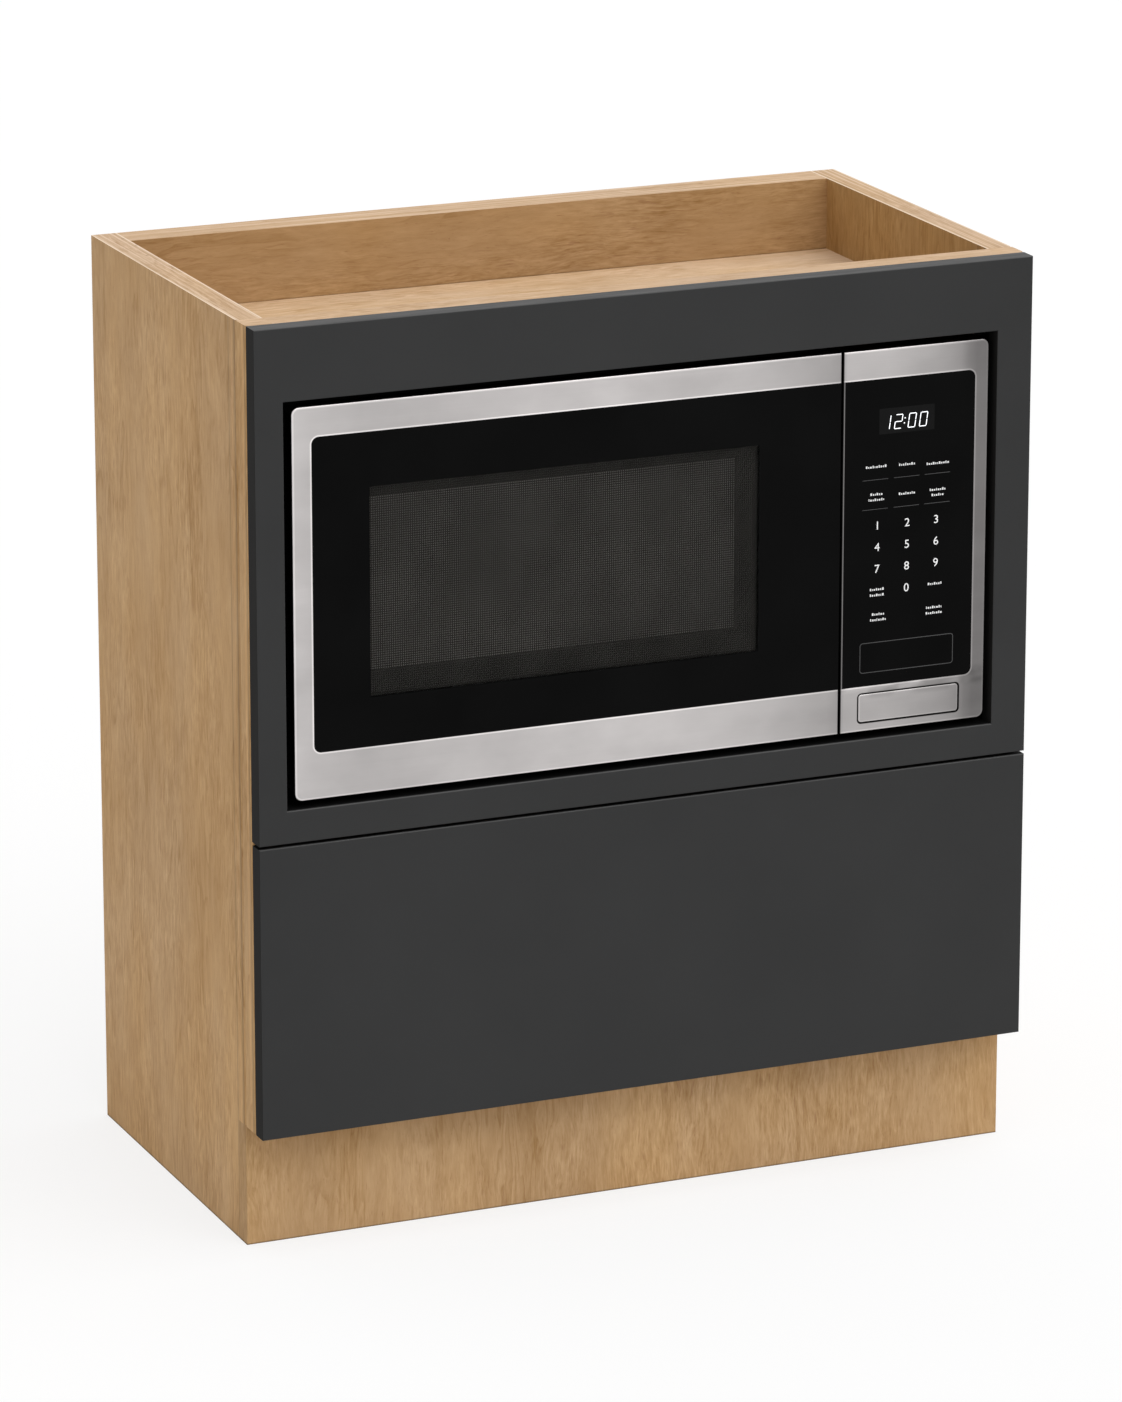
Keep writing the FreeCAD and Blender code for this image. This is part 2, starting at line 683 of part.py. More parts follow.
def magnetron():
    """A finned body in a yoke, on the duct."""
    x0 = DUCT_X1
    z = MAGNETRON_Z
    middle = (x0, sum(MAGNETRON_Y) / 2, sum(z) / 2)
    pieces = [box((x0, x0 + YOKE_T), MAGNETRON_Y, z)]
    pieces.append(box((x0, x0 + MAGNETRON_L[0]), MAGNETRON_Y, (z[0], z[0] + YOKE_T)))
    pieces.append(box((x0, x0 + MAGNETRON_L[0]), MAGNETRON_Y, (z[1] - YOKE_T, z[1])))
    pieces.append(rod(middle, (1, 0, 0), MAGNETRON_R, MAGNETRON_L[1]))
    for number in range(FIN_COUNT):
        fin_x = x0 + FIN_START + number * FIN_PITCH
        pieces.append(box((fin_x, fin_x + FIN_T), inset(MAGNETRON_Y, FIN_MARGIN), inset(z, YOKE_T)))
    return join(pieces)


def hv_transformer():
    """A laminated core with its two windings, bolted to the base."""
    z0 = CASE_Z[0] + SHEET
    pieces = [box(CORE_X, CORE_Y, (z0, z0 + CORE_H))]
    for low, high in COIL_LEVELS:
        coil_y = inset(CORE_Y, -COIL_MARGIN[1])
        pieces.append(box(inset(CORE_X, COIL_MARGIN[0]), coil_y, (z0 + low, z0 + high)))
    return join(pieces)


def fan_housing():
    """The square shroud with its motor held on three arms."""
    along = (0, 1, 0)
    x = (FAN_X - FAN_SHROUD_HALF, FAN_X + FAN_SHROUD_HALF)
    z = (FAN_Z - FAN_SHROUD_HALF, FAN_Z + FAN_SHROUD_HALF)
    shroud = box(x, (FAN_Y, FAN_Y + FAN_DEPTH), z)
    shroud = shroud.cut(rod((FAN_X, FAN_Y, FAN_Z), along, FAN_R + FAN_CLEARANCE, FAN_DEPTH))
    motor = rod((FAN_X, FAN_Y + FAN_MOTOR_LAP - FAN_MOTOR_L, FAN_Z), along, FAN_MOTOR_R, FAN_MOTOR_L)
    back, length = FAN_MOTOR_BORE
    motor = motor.cut(rod((FAN_X, FAN_Y - back, FAN_Z), along, FAN_SHAFT_R + PIN_CLEARANCE, length))
    pieces = [shroud, motor]
    for number in range(3):
        arm_y = (FAN_Y + FAN_ARM_Y[0], FAN_Y + FAN_ARM_Y[1])
        arm_z = (FAN_MOTOR_R - FAN_CLEARANCE, FAN_R + FAN_ARM_REACH)
        arm = box((-FAN_ARM_HALF, FAN_ARM_HALF), arm_y, arm_z)
        arm.rotate(Vector(0, 0, 0), Vector(0, 1, 0), 120.0 * number)
        arm.translate(Vector(FAN_X, 0, FAN_Z))
        pieces.append(arm)
    return join(pieces)


def fan_blade():
    """A hub on its shaft with pitched blades."""
    along = (0, 1, 0)
    hub = rod((FAN_X, FAN_Y + FAN_HUB_Y, FAN_Z), along, FAN_HUB_R, FAN_HUB_L)
    shaft = rod((FAN_X, FAN_Y + FAN_SHAFT_Y, FAN_Z), along, FAN_SHAFT_R, FAN_HUB_Y - FAN_SHAFT_Y)
    pieces = [hub, shaft]
    for number in range(FAN_BLADES):
        half, thin = BLADE_HALF
        blade_z = (FAN_HUB_R - BLADE_ROOT, FAN_R - BLADE_TIP_GAP)
        blade = box((-half, half), (-thin, thin), blade_z)
        blade.rotate(Vector(0, 0, 0), Vector(0, 0, 1), FAN_PITCH)
        blade.rotate(Vector(0, 0, 0), Vector(0, 1, 0), 360.0 / FAN_BLADES * number)
        blade.translate(Vector(FAN_X, FAN_Y + BLADE_Y, FAN_Z))
        pieces.append(blade)
    return join(pieces)


def hinge_brackets():
    """Two tabs on the front plate, each with the pin that carries one end of the door."""
    tabs = []
    for level, way in TAB_LEVELS:
        z = sorted((level, level - way * TAB_T))
        tab = box((HINGE_X - TAB_HALF, HINGE_X + TAB_HALF), (Y_HINGE, Y_PLATE), z)
        nose = rod((HINGE_X, Y_HINGE, z[0]), (0, 0, 1), TAB_HALF, TAB_T)
        pin = rod((HINGE_X, Y_HINGE, level), (0, 0, way), PIN_R, PIN_LENGTH)
        tabs.append(join([tab, nose, pin]))
    return group(tabs)


# Oven: control panel

def control_bezel():
    """The stainless front of the control panel, with the bridge that guides the button."""
    radii = (SEAM_R, CORNER_R, CORNER_R, SEAM_R)
    x = (CONTROL_X0, OVEN_X[1])
    skin_y = (Y_OVEN, Y_OVEN + SKIN)
    bezel = upright_plate(x, (Y_OVEN, Y_PLATE), OVEN_Z, radii)
    bezel = round_edges(bezel, TRIM_ARRIS, lambda p: near(p.y, Y_OVEN))
    inner_radii = (0.0, CORNER_R - SKIN, CORNER_R - SKIN, 0.0)
    hollow = upright_plate(inset(x, SKIN), (skin_y[1], Y_PLATE), inset(OVEN_Z, SKIN), inner_radii)
    bezel = bezel.cut(hollow).cut(control_glass_blank(skin_y))
    mouth_z = inset(BUTTON_Z, -BUTTON_GAP)
    mouth = upright_plate(inset(BUTTON_X, -BUTTON_GAP), skin_y, mouth_z, (BUTTON_R + BUTTON_ARRIS,) * 4)
    bezel = bezel.cut(mouth)
    bridge = box(inset(x, SKIN), BRIDGE_Y, (STEM_Z - BRIDGE_HALF, STEM_Z + BRIDGE_HALF))
    guide = rod((STEM_X, BRIDGE_Y[0], STEM_Z), (0, 1, 0), STEM_R + STEM_PLAY, BRIDGE_Y[1] - BRIDGE_Y[0])
    return join([bezel, bridge.cut(guide)])


def control_glass_blank(y):
    x = (CONTROL_X0 + SKIN + GLASS_SEAT, GLASS_X[1])
    return upright_plate(x, y, GLASS_Z, (0.0, CORNER_R, CORNER_R, 0.0))


def display_window():
    y0 = Y_OVEN + GLASS_INSET
    return box(DISPLAY_X, (y0, y0 + DISPLAY_T), DISPLAY_Z)


def control_glass():
    y0 = Y_OVEN + GLASS_INSET
    return control_glass_blank((y0, y0 + GLASS_T)).cut(display_window())


def release_button():
    """The stainless push button with the round-nosed stem that reaches the lever."""
    cap_y = (Y_OVEN, Y_OVEN + BUTTON_CAP_T)
    cap = upright_plate(BUTTON_X, cap_y, BUTTON_Z, (BUTTON_R,) * 4)
    cap = round_edges(cap, BUTTON_ARRIS, lambda p: near(p.y, Y_OVEN))
    stem = rod((STEM_X, cap_y[1], STEM_Z), (0, 1, 0), STEM_R, STEM_END_Y - cap_y[1])
    tip = [edge for edge in stem.Edges if near(edge.CenterOfMass.y, STEM_END_Y)]
    return join([cap, stem.makeFillet(STEM_NOSE_R, tip)])


def button_spring():
    """The return spring round the stem, between the cap and the bridge."""
    y0 = Y_OVEN + BUTTON_CAP_T + SPRING_WIRE_R
    length = BRIDGE_Y[0] - SPRING_WIRE_R - y0
    coil = Part.makeHelix(length / SPRING_TURNS, length, SPRING_R)
    corners = []
    for number in range(SPRING_FACETS + 1):
        angle = 2 * math.pi * number / SPRING_FACETS
        x = SPRING_R + SPRING_WIRE_R * math.cos(angle)
        corners.append(Vector(x, 0, SPRING_WIRE_R * math.sin(angle)))
    profile = Part.makePolygon(corners)
    spring = Part.Wire(coil).makePipeShell([profile], True, True)
    spring.rotate(Vector(0, 0, 0), Vector(1, 0, 0), -90.0)
    spring.translate(Vector(STEM_X, y0, STEM_Z))
    return spring


def release_lever():
    """A rocker: its long shaft carries an arm behind the stem and a finger under the hook."""
    x0, x1 = LEVER_SHAFT_X
    shaft = rod((x0, LEVER_Y, LEVER_Z), (1, 0, 0), LEVER_SHAFT_R, x1 - x0)
    arm_x = (STEM_X - LEVER_ARM_HALF, STEM_X + LEVER_ARM_HALF)
    arm = box(arm_x, (STEM_END_Y + LEVER_FREE_PLAY, LEVER_Y + LEVER_LAP), (STEM_Z - LEVER_ARM_DROP, LEVER_Z))
    finger_x = (HOOK_X[0] - BAR_SIDE, HOOK_X[1] + BAR_SIDE)
    step = box(finger_x, (LEVER_Y, FINGER_Y[1]), inset((LEVER_Z, LEVER_Z), -LEVER_LAP))
    finger = box(finger_x, FINGER_Y, (LEVER_Z, HOOK_Z[0] - HOOK_BARB - FINGER_GAP))
    return join([shaft, arm, step, finger])


# Oven: turntable drive

def turntable_glass():
    """A round glass tray with an upturned rim."""
    r = TURNTABLE_R
    z0 = TRAY_BOTTOM
    z1 = z0 + TRAY_RIM_H
    points = [(0, z0), (r - TRAY_SLOPE, z0), (r - TRAY_LIP, z1 - 2 * TRAY_LIP), (r, z1 - TRAY_LIP)]
    points += [(r - TRAY_LIP, z1), (r - TRAY_WALL, z1), (r - TRAY_SLOPE - 1, z0 + TRAY_T), (0, z0 + TRAY_T)]
    outline = Part.makePolygon([Vector(radius, 0, z) for radius, z in points + points[:1]])
    tray = Part.Face(outline).revolve(Vector(0, 0, 0), Vector(0, 0, 1), 360)
    tray.translate(Vector(TURNTABLE_X, TURNTABLE_Y, 0))
    return tray


def turntable_coupler():
    """A three-armed driver under the tray on a shaft that enters the motor."""
    foot = CAVITY_FLOOR + COUPLER_LIFT
    hub = rod((TURNTABLE_X, TURNTABLE_Y, foot), (0, 0, 1), COUPLER_HUB_R, TRAY_BOTTOM - foot)
    shaft_z = MOTOR_Z[1] - MOTOR_BORE_L + 1.0
    shaft = rod((TURNTABLE_X, TURNTABLE_Y, shaft_z), (0, 0, 1), COUPLER_SHAFT_R, foot - shaft_z)
    pieces = [hub, shaft]
    for number in range(3):
        half = COUPLER_ARM["half"]
        arm_x = (COUPLER_HUB_R - COUPLER_ARM["lap"], COUPLER_ARM["reach"])
        arm = box(arm_x, (-half, half), (TRAY_BOTTOM - COUPLER_ARM["t"], TRAY_BOTTOM))
        arm.rotate(Vector(0, 0, 0), Vector(0, 0, 1), 120.0 * number)
        arm.translate(Vector(TURNTABLE_X, TURNTABLE_Y, 0))
        pieces.append(arm)
    return join(pieces)


def turntable_motor():
    """A flat round motor with two ears, fixed under the cavity's floor."""
    up = (0, 0, 1)
    motor = rod((TURNTABLE_X, TURNTABLE_Y, MOTOR_Z[0]), up, MOTOR_R, MOTOR_H)
    ear_x = (TURNTABLE_X - MOTOR_EAR, TURNTABLE_X + MOTOR_EAR)
    ear_y = inset((TURNTABLE_Y, TURNTABLE_Y), -MOTOR_EAR_HALF)
    ears = box(ear_x, ear_y, (MOTOR_Z[1] - MOTOR_EAR_T, MOTOR_Z[1]))
    bore_start = (TURNTABLE_X, TURNTABLE_Y, MOTOR_Z[1] - MOTOR_BORE_L)
    bore = rod(bore_start, up, COUPLER_SHAFT_R + PIN_CLEARANCE, MOTOR_BORE_L)
    return join([motor, ears]).cut(bore)


def roller_angle(number):
    return math.radians(90.0 + 360.0 / ROLLER_COUNT * number)


def roller_ring():
    """The flat ring whose axles point outwards and carry the rollers."""
    centre = (TURNTABLE_X, TURNTABLE_Y, ROLLER_Z - RING_T / 2)
    pieces = [tube(centre, (0, 0, 1), RING_R[1], RING_R[0], RING_T)]
    root = sum(RING_R) / 2
    tip = ROLLER_ORBIT + ROLLER_W / 2
    for number in range(ROLLER_COUNT):
        angle = roller_angle(number)
        out = Vector(math.cos(angle), math.sin(angle), 0)
        hub = Vector(TURNTABLE_X, TURNTABLE_Y, ROLLER_Z)
        cap = tip + AXLE_CAP["gap"]
        pieces.append(rod(hub + out * root, out, AXLE_R, cap + AXLE_CAP["gap"] - root))
        pieces.append(rod(hub + out * cap, out, AXLE_R + AXLE_CAP["rim"], AXLE_CAP["t"]))
    return join(pieces)


def roller(number):
    """A small wheel that runs on the ring's axle."""
    angle = roller_angle(number)
    out = Vector(math.cos(angle), math.sin(angle), 0)
    start = Vector(TURNTABLE_X, TURNTABLE_Y, ROLLER_Z) + out * (ROLLER_ORBIT - ROLLER_W / 2)
    return tube(start, out, ROLLER_R, AXLE_R + PIN_CLEARANCE, ROLLER_W)


# Oven: door

def door_glass_blank(y):
    return upright_plate((GLASS_X[0], DOOR_X1), y, GLASS_Z, (CORNER_R, 0.0, 0.0, CORNER_R))


def door_frame():
    """The stainless C that runs along the door's left, top and bottom."""
    x = (OVEN_X[0], DOOR_X1)
    y = (Y_OVEN, Y_OVEN + DOOR_FRAME_RETURN)
    frame = upright_plate(x, y, OVEN_Z, (CORNER_R, SEAM_R, SEAM_R, CORNER_R))
    frame = round_edges(frame, TRIM_ARRIS, lambda p: near(p.y, Y_OVEN))
    inner_radii = (CORNER_R - SKIN, 0.0, 0.0, CORNER_R - SKIN)
    frame = frame.cut(upright_plate(inset(x, SKIN), (y[0] + SKIN, y[1]), inset(OVEN_Z, SKIN), inner_radii))
    frame = frame.cut(door_glass_blank((y[0], y[0] + SKIN)))
    frame = frame.cut(box((DOOR_X1 - SKIN, DOOR_X1), y, GLASS_Z))
    notch_x = (OVEN_X[0], HINGE_X - TAB_NOTCH["gap"])
    for z in ((OVEN_Z[0], OVEN_Z[0] + TAB_NOTCH["h"]), (OVEN_Z[1] - TAB_NOTCH["h"], OVEN_Z[1])):
        frame = frame.cut(box(notch_x, (y[0] + SKIN, y[1]), z))
    return frame


def door_glass():
    y0 = Y_OVEN + GLASS_INSET
    return door_glass_blank((y0, y0 + GLASS_T))


def door_screen():
    """The perforated sheet behind the glass, a little larger than the window."""
    y0 = Y_OVEN + GLASS_INSET + GLASS_T
    margin = POCKET_MARGIN + CHOKE_WALL
    return box(inset(WINDOW_X, -margin), (y0, y0 + SCREEN_T), inset(WINDOW_Z, -margin))


def door_inner_pane():
    """The thin clouded sheet that closes the window's throat on the side of the cavity."""
    y1 = Y_DOOR_BACK - PANE_SETBACK
    return box(OPENING_X, (y1 - PANE_T, y1), OPENING_Z)


def door_inner_frame():
    """The channel that seals the door: outer walls, a back plate and a stepped window tunnel."""
    wall = CHOKE_WALL
    y_screen = Y_OVEN + GLASS_INSET + GLASS_T + SCREEN_T
    y_step = Y_OVEN + CHOKE_STEP
    shell_y = (Y_OVEN + SKIN, Y_DOOR_BACK)
    hollow_y = (shell_y[0], Y_DOOR_BACK - wall)
    shell = box(CHOKE_X, shell_y, CHOKE_Z).cut(box(inset(CHOKE_X, wall), hollow_y, inset(CHOKE_Z, wall)))
    pocket_x = inset(WINDOW_X, -POCKET_MARGIN)
    pocket_z = inset(WINDOW_Z, -POCKET_MARGIN)
    tunnel = box(inset(pocket_x, -wall), (y_screen, y_step), inset(pocket_z, -wall))
    tunnel = tunnel.cut(box(pocket_x, (y_screen, y_step - wall), pocket_z))
    throat = box(inset(OPENING_X, -wall), (y_step, Y_DOOR_BACK), inset(OPENING_Z, -wall))
    posts = []
    for z in ((CHOKE_Z[1] - POST_H, CHOKE_Z[1]), (CHOKE_Z[0], CHOKE_Z[0] + POST_H)):
        post_x = (HINGE_X - POST["left"], HINGE_X + POST["right"])
        posts.append(box(post_x, inset((Y_HINGE, Y_HINGE), -POST["half"]), z))
    frame = join([shell, tunnel, throat] + posts)
    frame = frame.cut(box(OPENING_X, (y_screen, Y_DOOR_BACK), OPENING_Z))
    for start, way in ((CHOKE_Z[1], -1), (CHOKE_Z[0], 1)):
        frame = frame.cut(rod((HINGE_X, Y_HINGE, start), (0, 0, way), PIN_R + PIN_CLEARANCE, PIN_LENGTH))
    slot_x = inset(HOOK_X, -BAR_SIDE / 2)
    frame = frame.cut(hook_slots(slot_x, (hollow_y[1], Y_DOOR_BACK)))
    return frame.cut(door_glass())


def latch_hooks():
    """One bar inside the door with an upper and a lower hook."""
    bar_y = (Y_OVEN + BAR_DEPTH[0], Y_OVEN + BAR_DEPTH[1])
    bar_z = (HOOK_Z[0] - BAR_OVERHANG[0], HOOK_Z[1] + BAR_OVERHANG[1])
    pieces = [box(inset(HOOK_X, -BAR_SIDE), bar_y, bar_z)]
    for z in HOOK_Z:
        pieces.append(box(HOOK_X, (bar_y[0], HOOK_TIP_Y), (z, z + HOOK_H)))
        pieces.append(box(HOOK_X, (HOOK_TIP_Y - HOOK_BARB_LENGTH, HOOK_TIP_Y), (z - HOOK_BARB, z)))
    hooks = join(pieces)
    tops = [z + HOOK_H for z in HOOK_Z]
    nose = lambda p: near(p.y, HOOK_TIP_Y) and any(near(p.z, top) for top in tops)
    return round_edges(hooks, HOOK_NOSE_R, nose)


NODES = {
    "left_side_panel": side_panel(-1),
    "right_side_panel": side_panel(1),
    "back_panel": back_panel(),
    "hanging_rail": hanging_rail(),
    "top_deck": grooved_board((DECK_TOP - DECK_T, DECK_TOP)),
    "microwave_shelf": grooved_board((SHELF_TOP - PANEL_T, SHELF_TOP)),
    "bottom_panel": grooved_board((TOE_H, TOE_H + PANEL_T)),
    "toe_kick_board": toe_kick_board(),
    "left_stile": stile(-1),
    "right_stile": stile(1),
    "top_rail": rail(TOP_RAIL_Z),
    "middle_rail": rail(MIDDLE_RAIL_Z),
    "bottom_rail": rail(BOTTOM_RAIL_Z),
    "upper_front_panel": upper_front_panel(),
    "cabinet_screws": screws(SURROUND_SCREWS + SLIDE_SCREWS),
    "left_slide_outer": slide_outer(-1),
    "right_slide_outer": slide_outer(1),
    "left_slide_middle": slide_middle(-1),
    "right_slide_middle": slide_middle(1),
    "left_slide_inner": slide_inner(-1),
    "right_slide_inner": slide_inner(1),
    "drawer_front": drawer_front(),
    "drawer_box_left": drawer_box_side(-1),
    "drawer_box_right": drawer_box_side(1),
    "drawer_box_front": drawer_box_front(),
    "drawer_box_back": drawer_box_back(),
    "drawer_floor": drawer_floor(),
    "drawer_front_screws": screws(DRAWER_FRONT_SCREWS),
    "microwave_case": microwave_case(),
    "microwave_chassis": microwave_chassis(),
    "microwave_feet": microwave_feet(),
    "cavity_liner": cavity_liner(),
    "cavity_front_plate": cavity_front_plate(),
    "waveguide_duct": waveguide_duct(),
    "waveguide_cover": waveguide_cover(),
    "magnetron": magnetron(),
    "hv_transformer": hv_transformer(),
    "fan_housing": fan_housing(),
    "fan_blade": fan_blade(),
    "power_cord_gland": power_cord_gland(),
    "hinge_brackets": hinge_brackets(),
    "control_bezel": control_bezel(),
    "control_glass": control_glass(),
    "display_window": display_window(),
    "release_button": release_button(),
    "button_spring": button_spring(),
    "release_lever": release_lever(),
    "turntable_glass": turntable_glass(),
    "turntable_coupler": turntable_coupler(),
    "turntable_motor": turntable_motor(),
    "roller_ring": roller_ring(),
    "door_frame": door_frame(),
    "door_glass": door_glass(),
    "door_screen": door_screen(),
    "door_inner_pane": door_inner_pane(),
    "door_inner_frame": door_inner_frame(),
    "latch_hooks": latch_hooks(),
}
for index in range(ROLLER_COUNT):
    NODES["roller_" + str(index + 1)] = roller(index)

os.makedirs("parts", exist_ok=True)
for name, shape in NODES.items():
    if not shape.isValid() or not shape.Solids:
        print("not a valid solid:", name)
    shape.exportStep(os.path.join("parts", name + ".step"))
    print(name, "solids", len(shape.Solids), "volume", round(shape.Volume / 1000.0, 1), "cm3")
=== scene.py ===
import json
import math

import bpy
from mathutils import Matrix, Vector

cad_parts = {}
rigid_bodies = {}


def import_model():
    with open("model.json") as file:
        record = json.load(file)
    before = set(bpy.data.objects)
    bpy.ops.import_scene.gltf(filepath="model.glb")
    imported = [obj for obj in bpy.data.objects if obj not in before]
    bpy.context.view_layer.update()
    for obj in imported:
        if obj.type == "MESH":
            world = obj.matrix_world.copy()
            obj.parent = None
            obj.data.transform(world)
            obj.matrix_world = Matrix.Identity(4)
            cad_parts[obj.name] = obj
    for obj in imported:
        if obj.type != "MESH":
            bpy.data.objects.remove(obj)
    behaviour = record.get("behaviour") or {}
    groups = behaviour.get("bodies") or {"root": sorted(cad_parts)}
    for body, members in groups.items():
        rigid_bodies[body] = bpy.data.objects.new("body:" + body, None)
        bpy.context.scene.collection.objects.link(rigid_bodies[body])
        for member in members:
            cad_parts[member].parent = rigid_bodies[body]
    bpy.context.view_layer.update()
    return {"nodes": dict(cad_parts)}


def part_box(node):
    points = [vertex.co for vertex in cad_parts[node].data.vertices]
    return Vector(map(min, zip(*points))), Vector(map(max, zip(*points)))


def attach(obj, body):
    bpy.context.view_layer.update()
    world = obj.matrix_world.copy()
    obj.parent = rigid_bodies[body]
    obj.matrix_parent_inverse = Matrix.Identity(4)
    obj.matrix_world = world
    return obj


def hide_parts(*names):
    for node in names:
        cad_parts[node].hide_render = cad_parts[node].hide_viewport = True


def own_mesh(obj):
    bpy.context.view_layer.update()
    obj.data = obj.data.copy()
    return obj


for leftover in list(bpy.data.objects):
    bpy.data.objects.remove(leftover)
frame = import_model()
NODE = frame["nodes"]

# Camera, placed by fitting it to the corners of the cabinet in the photograph
CAMERA_AT = (-2.39014, -5.57214, 2.19789)
CAMERA_TURN = -23.234
CAMERA_DOWN = 15.088
LENS = 172.90
SENSOR = 36.0
SHIFT_Y = -0.1
FAR = 200.0

# Light: a soft dome, a wide lamp overhead and a weaker one in front
DOME = 0.62
TOP_LAMP = 1.55
TOP_LAMP_AIM = (-0.35, 0.35, -1.0)
FRONT_LAMP = 0.65
FRONT_LAMP_AIM = (-0.2, 1.0, -0.5)
LAMP_SPREAD = math.radians(70.0)

# How pale the sky and the floor look in the picture and in reflections, whatever light they give
SEEN_SKY = 0.982
SEEN_FLOOR = 0.762
FLOOR_HALF = 60.0


# Places read from the frame, in metres

def upright(low, high):
    """The x and z limits between two corners."""
    return (low[0], low[2]), (high[0], high[2])


def shrunk(rectangle, margin):
    (x0, z0), (x1, z1) = rectangle
    return (x0 + margin, z0 + margin), (x1 - margin, z1 - margin)


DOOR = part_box("door_frame")
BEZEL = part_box("control_bezel")
CONTROL_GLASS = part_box("control_glass")
OVEN = upright(DOOR[0], BEZEL[1])
GLASS = upright(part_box("door_glass")[0], CONTROL_GLASS[1])
GLASS_Y = CONTROL_GLASS[0][1]
BUTTON = upright(*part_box("release_button"))
SCREEN_LAP = 0.006
WINDOW = shrunk(upright(*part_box("door_screen")), SCREEN_LAP)
SEAM_X = (DOOR[1][0] + BEZEL[0][0]) / 2
INSIDE_X, BOX_FRONT_Y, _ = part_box("right_side_panel")[0]
OUTSIDE_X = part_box("right_side_panel")[1][0]
SHELF_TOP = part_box("microwave_shelf")[1][2]
DECK_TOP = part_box("top_deck")[1][2]
FRONT_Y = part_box("upper_front_panel")[0][1]


# Building blocks for materials

class Nodes:
    """The nodes of a material or of the world, with short calls that add and link them."""

    def __init__(self, owner):
        owner.use_nodes = True
        self.tree = owner.node_tree
        self.tree.nodes.clear()

    def node(self, kind, inputs=None, **settings):
        made = self.tree.nodes.new(kind)
        for key, value in settings.items():
            setattr(made, key, value)
        for key, value in (inputs or {}).items():
            if isinstance(value, bpy.types.NodeSocket):
                self.tree.links.new(value, made.inputs[key])
            else:
                made.inputs[key].default_value = value
        return made

    def math(self, operation, a, b=0.0, c=0.0):
        return self.node("ShaderNodeMath", {0: a, 1: b, 2: c}, operation=operation).outputs[0]

    def span(self, value, low, high, to_low=0.0, to_high=1.0):
        inputs = {"Value": value, "From Min": low, "From Max": high, "To Min": to_low, "To Max": to_high}
        return self.node("ShaderNodeMapRange", inputs).outputs[0]


class Tree(Nodes):
    """A material's nodes, with short calls for what the materials share."""

    def __init__(self, name):
        self.material = bpy.data.materials.new(name)
        super().__init__(self.material)
        outputs = self.node("ShaderNodeTexCoord").outputs
        self.place = outputs["Object"]
        self.normal = outputs["Normal"]

    def vector(self, operation, a, b):
        return self.node("ShaderNodeVectorMath", {0: a, 1: b}, operation=operation).outputs[0]

    def both(self, *factors):
        """The product of factors, such as masks that all have to hold."""
        joined = factors[0]
        for factor in factors[1:]:
            joined = self.math("MULTIPLY", joined, factor)
        return joined

    def away(self, value, middle):
        """How far a value is from a middle, either way."""
        return self.math("ABSOLUTE", self.math("SUBTRACT", value, middle))

    def above(self, value, edge):
        return self.math("GREATER_THAN", value, edge)

    def below(self, value, edge):
        return self.math("LESS_THAN", value, edge)

    def stretch(self, scale, place=None, offset=(0, 0, 0)):
        """Coordinates multiplied by one scale per axis, so that a pattern runs along an axis."""
        inputs = {"Vector": place or self.place, "Scale": scale, "Location": offset}
        return self.node("ShaderNodeMapping", inputs).outputs[0]

    def noise(self, place, scale, detail, roughness):
        inputs = {"Vector": place, "Scale": scale, "Detail": detail, "Roughness": roughness}
        return self.node("ShaderNodeTexNoise", inputs).outputs["Fac"]

    def spread(self, noise, to_low=0.0, to_high=1.0):
        """A noise, most of which lies from 0.3 to 0.7, spread over a range."""
        return self.span(noise, 0.3, 0.7, to_low, to_high)

    def band(self, value, limits):
        """1 between the inner two of four limits, and 0 outside the outer two."""
        a, b, c, d = limits
        return self.both(self.span(value, a, b), self.span(value, c, d, 1.0, 0.0))

    def mix(self, factor, low, high):
        return self.node("ShaderNodeMix", {0: factor, 2: low, 3: high}).outputs[0]

    def scaled_where(self, value, mask, factor):
        """A value, multiplied by the factor where the mask is 1."""
        return self.both(value, self.span(mask, 0.0, 1.0, 1.0, factor))

    def colour(self, factor, low, high):
        made = self.node("ShaderNodeMix", {0: factor}, data_type="RGBA")
        for index, value in ((6, low), (7, high)):
            if isinstance(value, bpy.types.NodeSocket):
                self.tree.links.new(value, made.inputs[index])
            else:
                made.inputs[index].default_value = (*value, 1.0)
        return made.outputs[2]

    def times(self, colour, shade):
        """A colour darkened or lightened by a plain factor."""
        return self.node("ShaderNodeVectorMath", {0: colour, "Scale": shade}, operation="SCALE").outputs[0]

    def parts(self, vector=None):
        return self.node("ShaderNodeSeparateXYZ", {0: vector or self.place}).outputs

    def bump(self, height, depth, strength=1.0):
        inputs = {"Height": height, "Distance": depth, "Strength": strength}
        return self.node("ShaderNodeBump", inputs).outputs[0]

    def surface(self, **inputs):
        """A principled shader whose inputs are named with low lines for spaces."""
        named = {key.replace("_", " "): value for key, value in inputs.items()}
        return self.node("ShaderNodeBsdfPrincipled", named).outputs[0]

    def blend(self, factor, first, second):
        return self.node("ShaderNodeMixShader", {0: factor, 1: first, 2: second}).outputs[0]

    def finish(self, shader):
        self.node("ShaderNodeOutputMaterial", {"Surface": shader})
        return self.material


def grey(level):
    return (level, level, level)


AXES = {"x": 0, "y": 1, "z": 2}

# Which coordinate stands in for x, y and z where the grain on upward faces turns to another axis
TURNED = {("z", "y"): ("X", "Z", "Y"), ("z", "x"): ("Z", "Y", "X")}

# Each axis is moved by its own share of a seed, so that the kinds of board differ in pattern
SEED_SHARES = (1.0, 1.7, 0.6)

# How upright a normal has to be for its face to count as one that looks up or down
UPWARD = 0.7


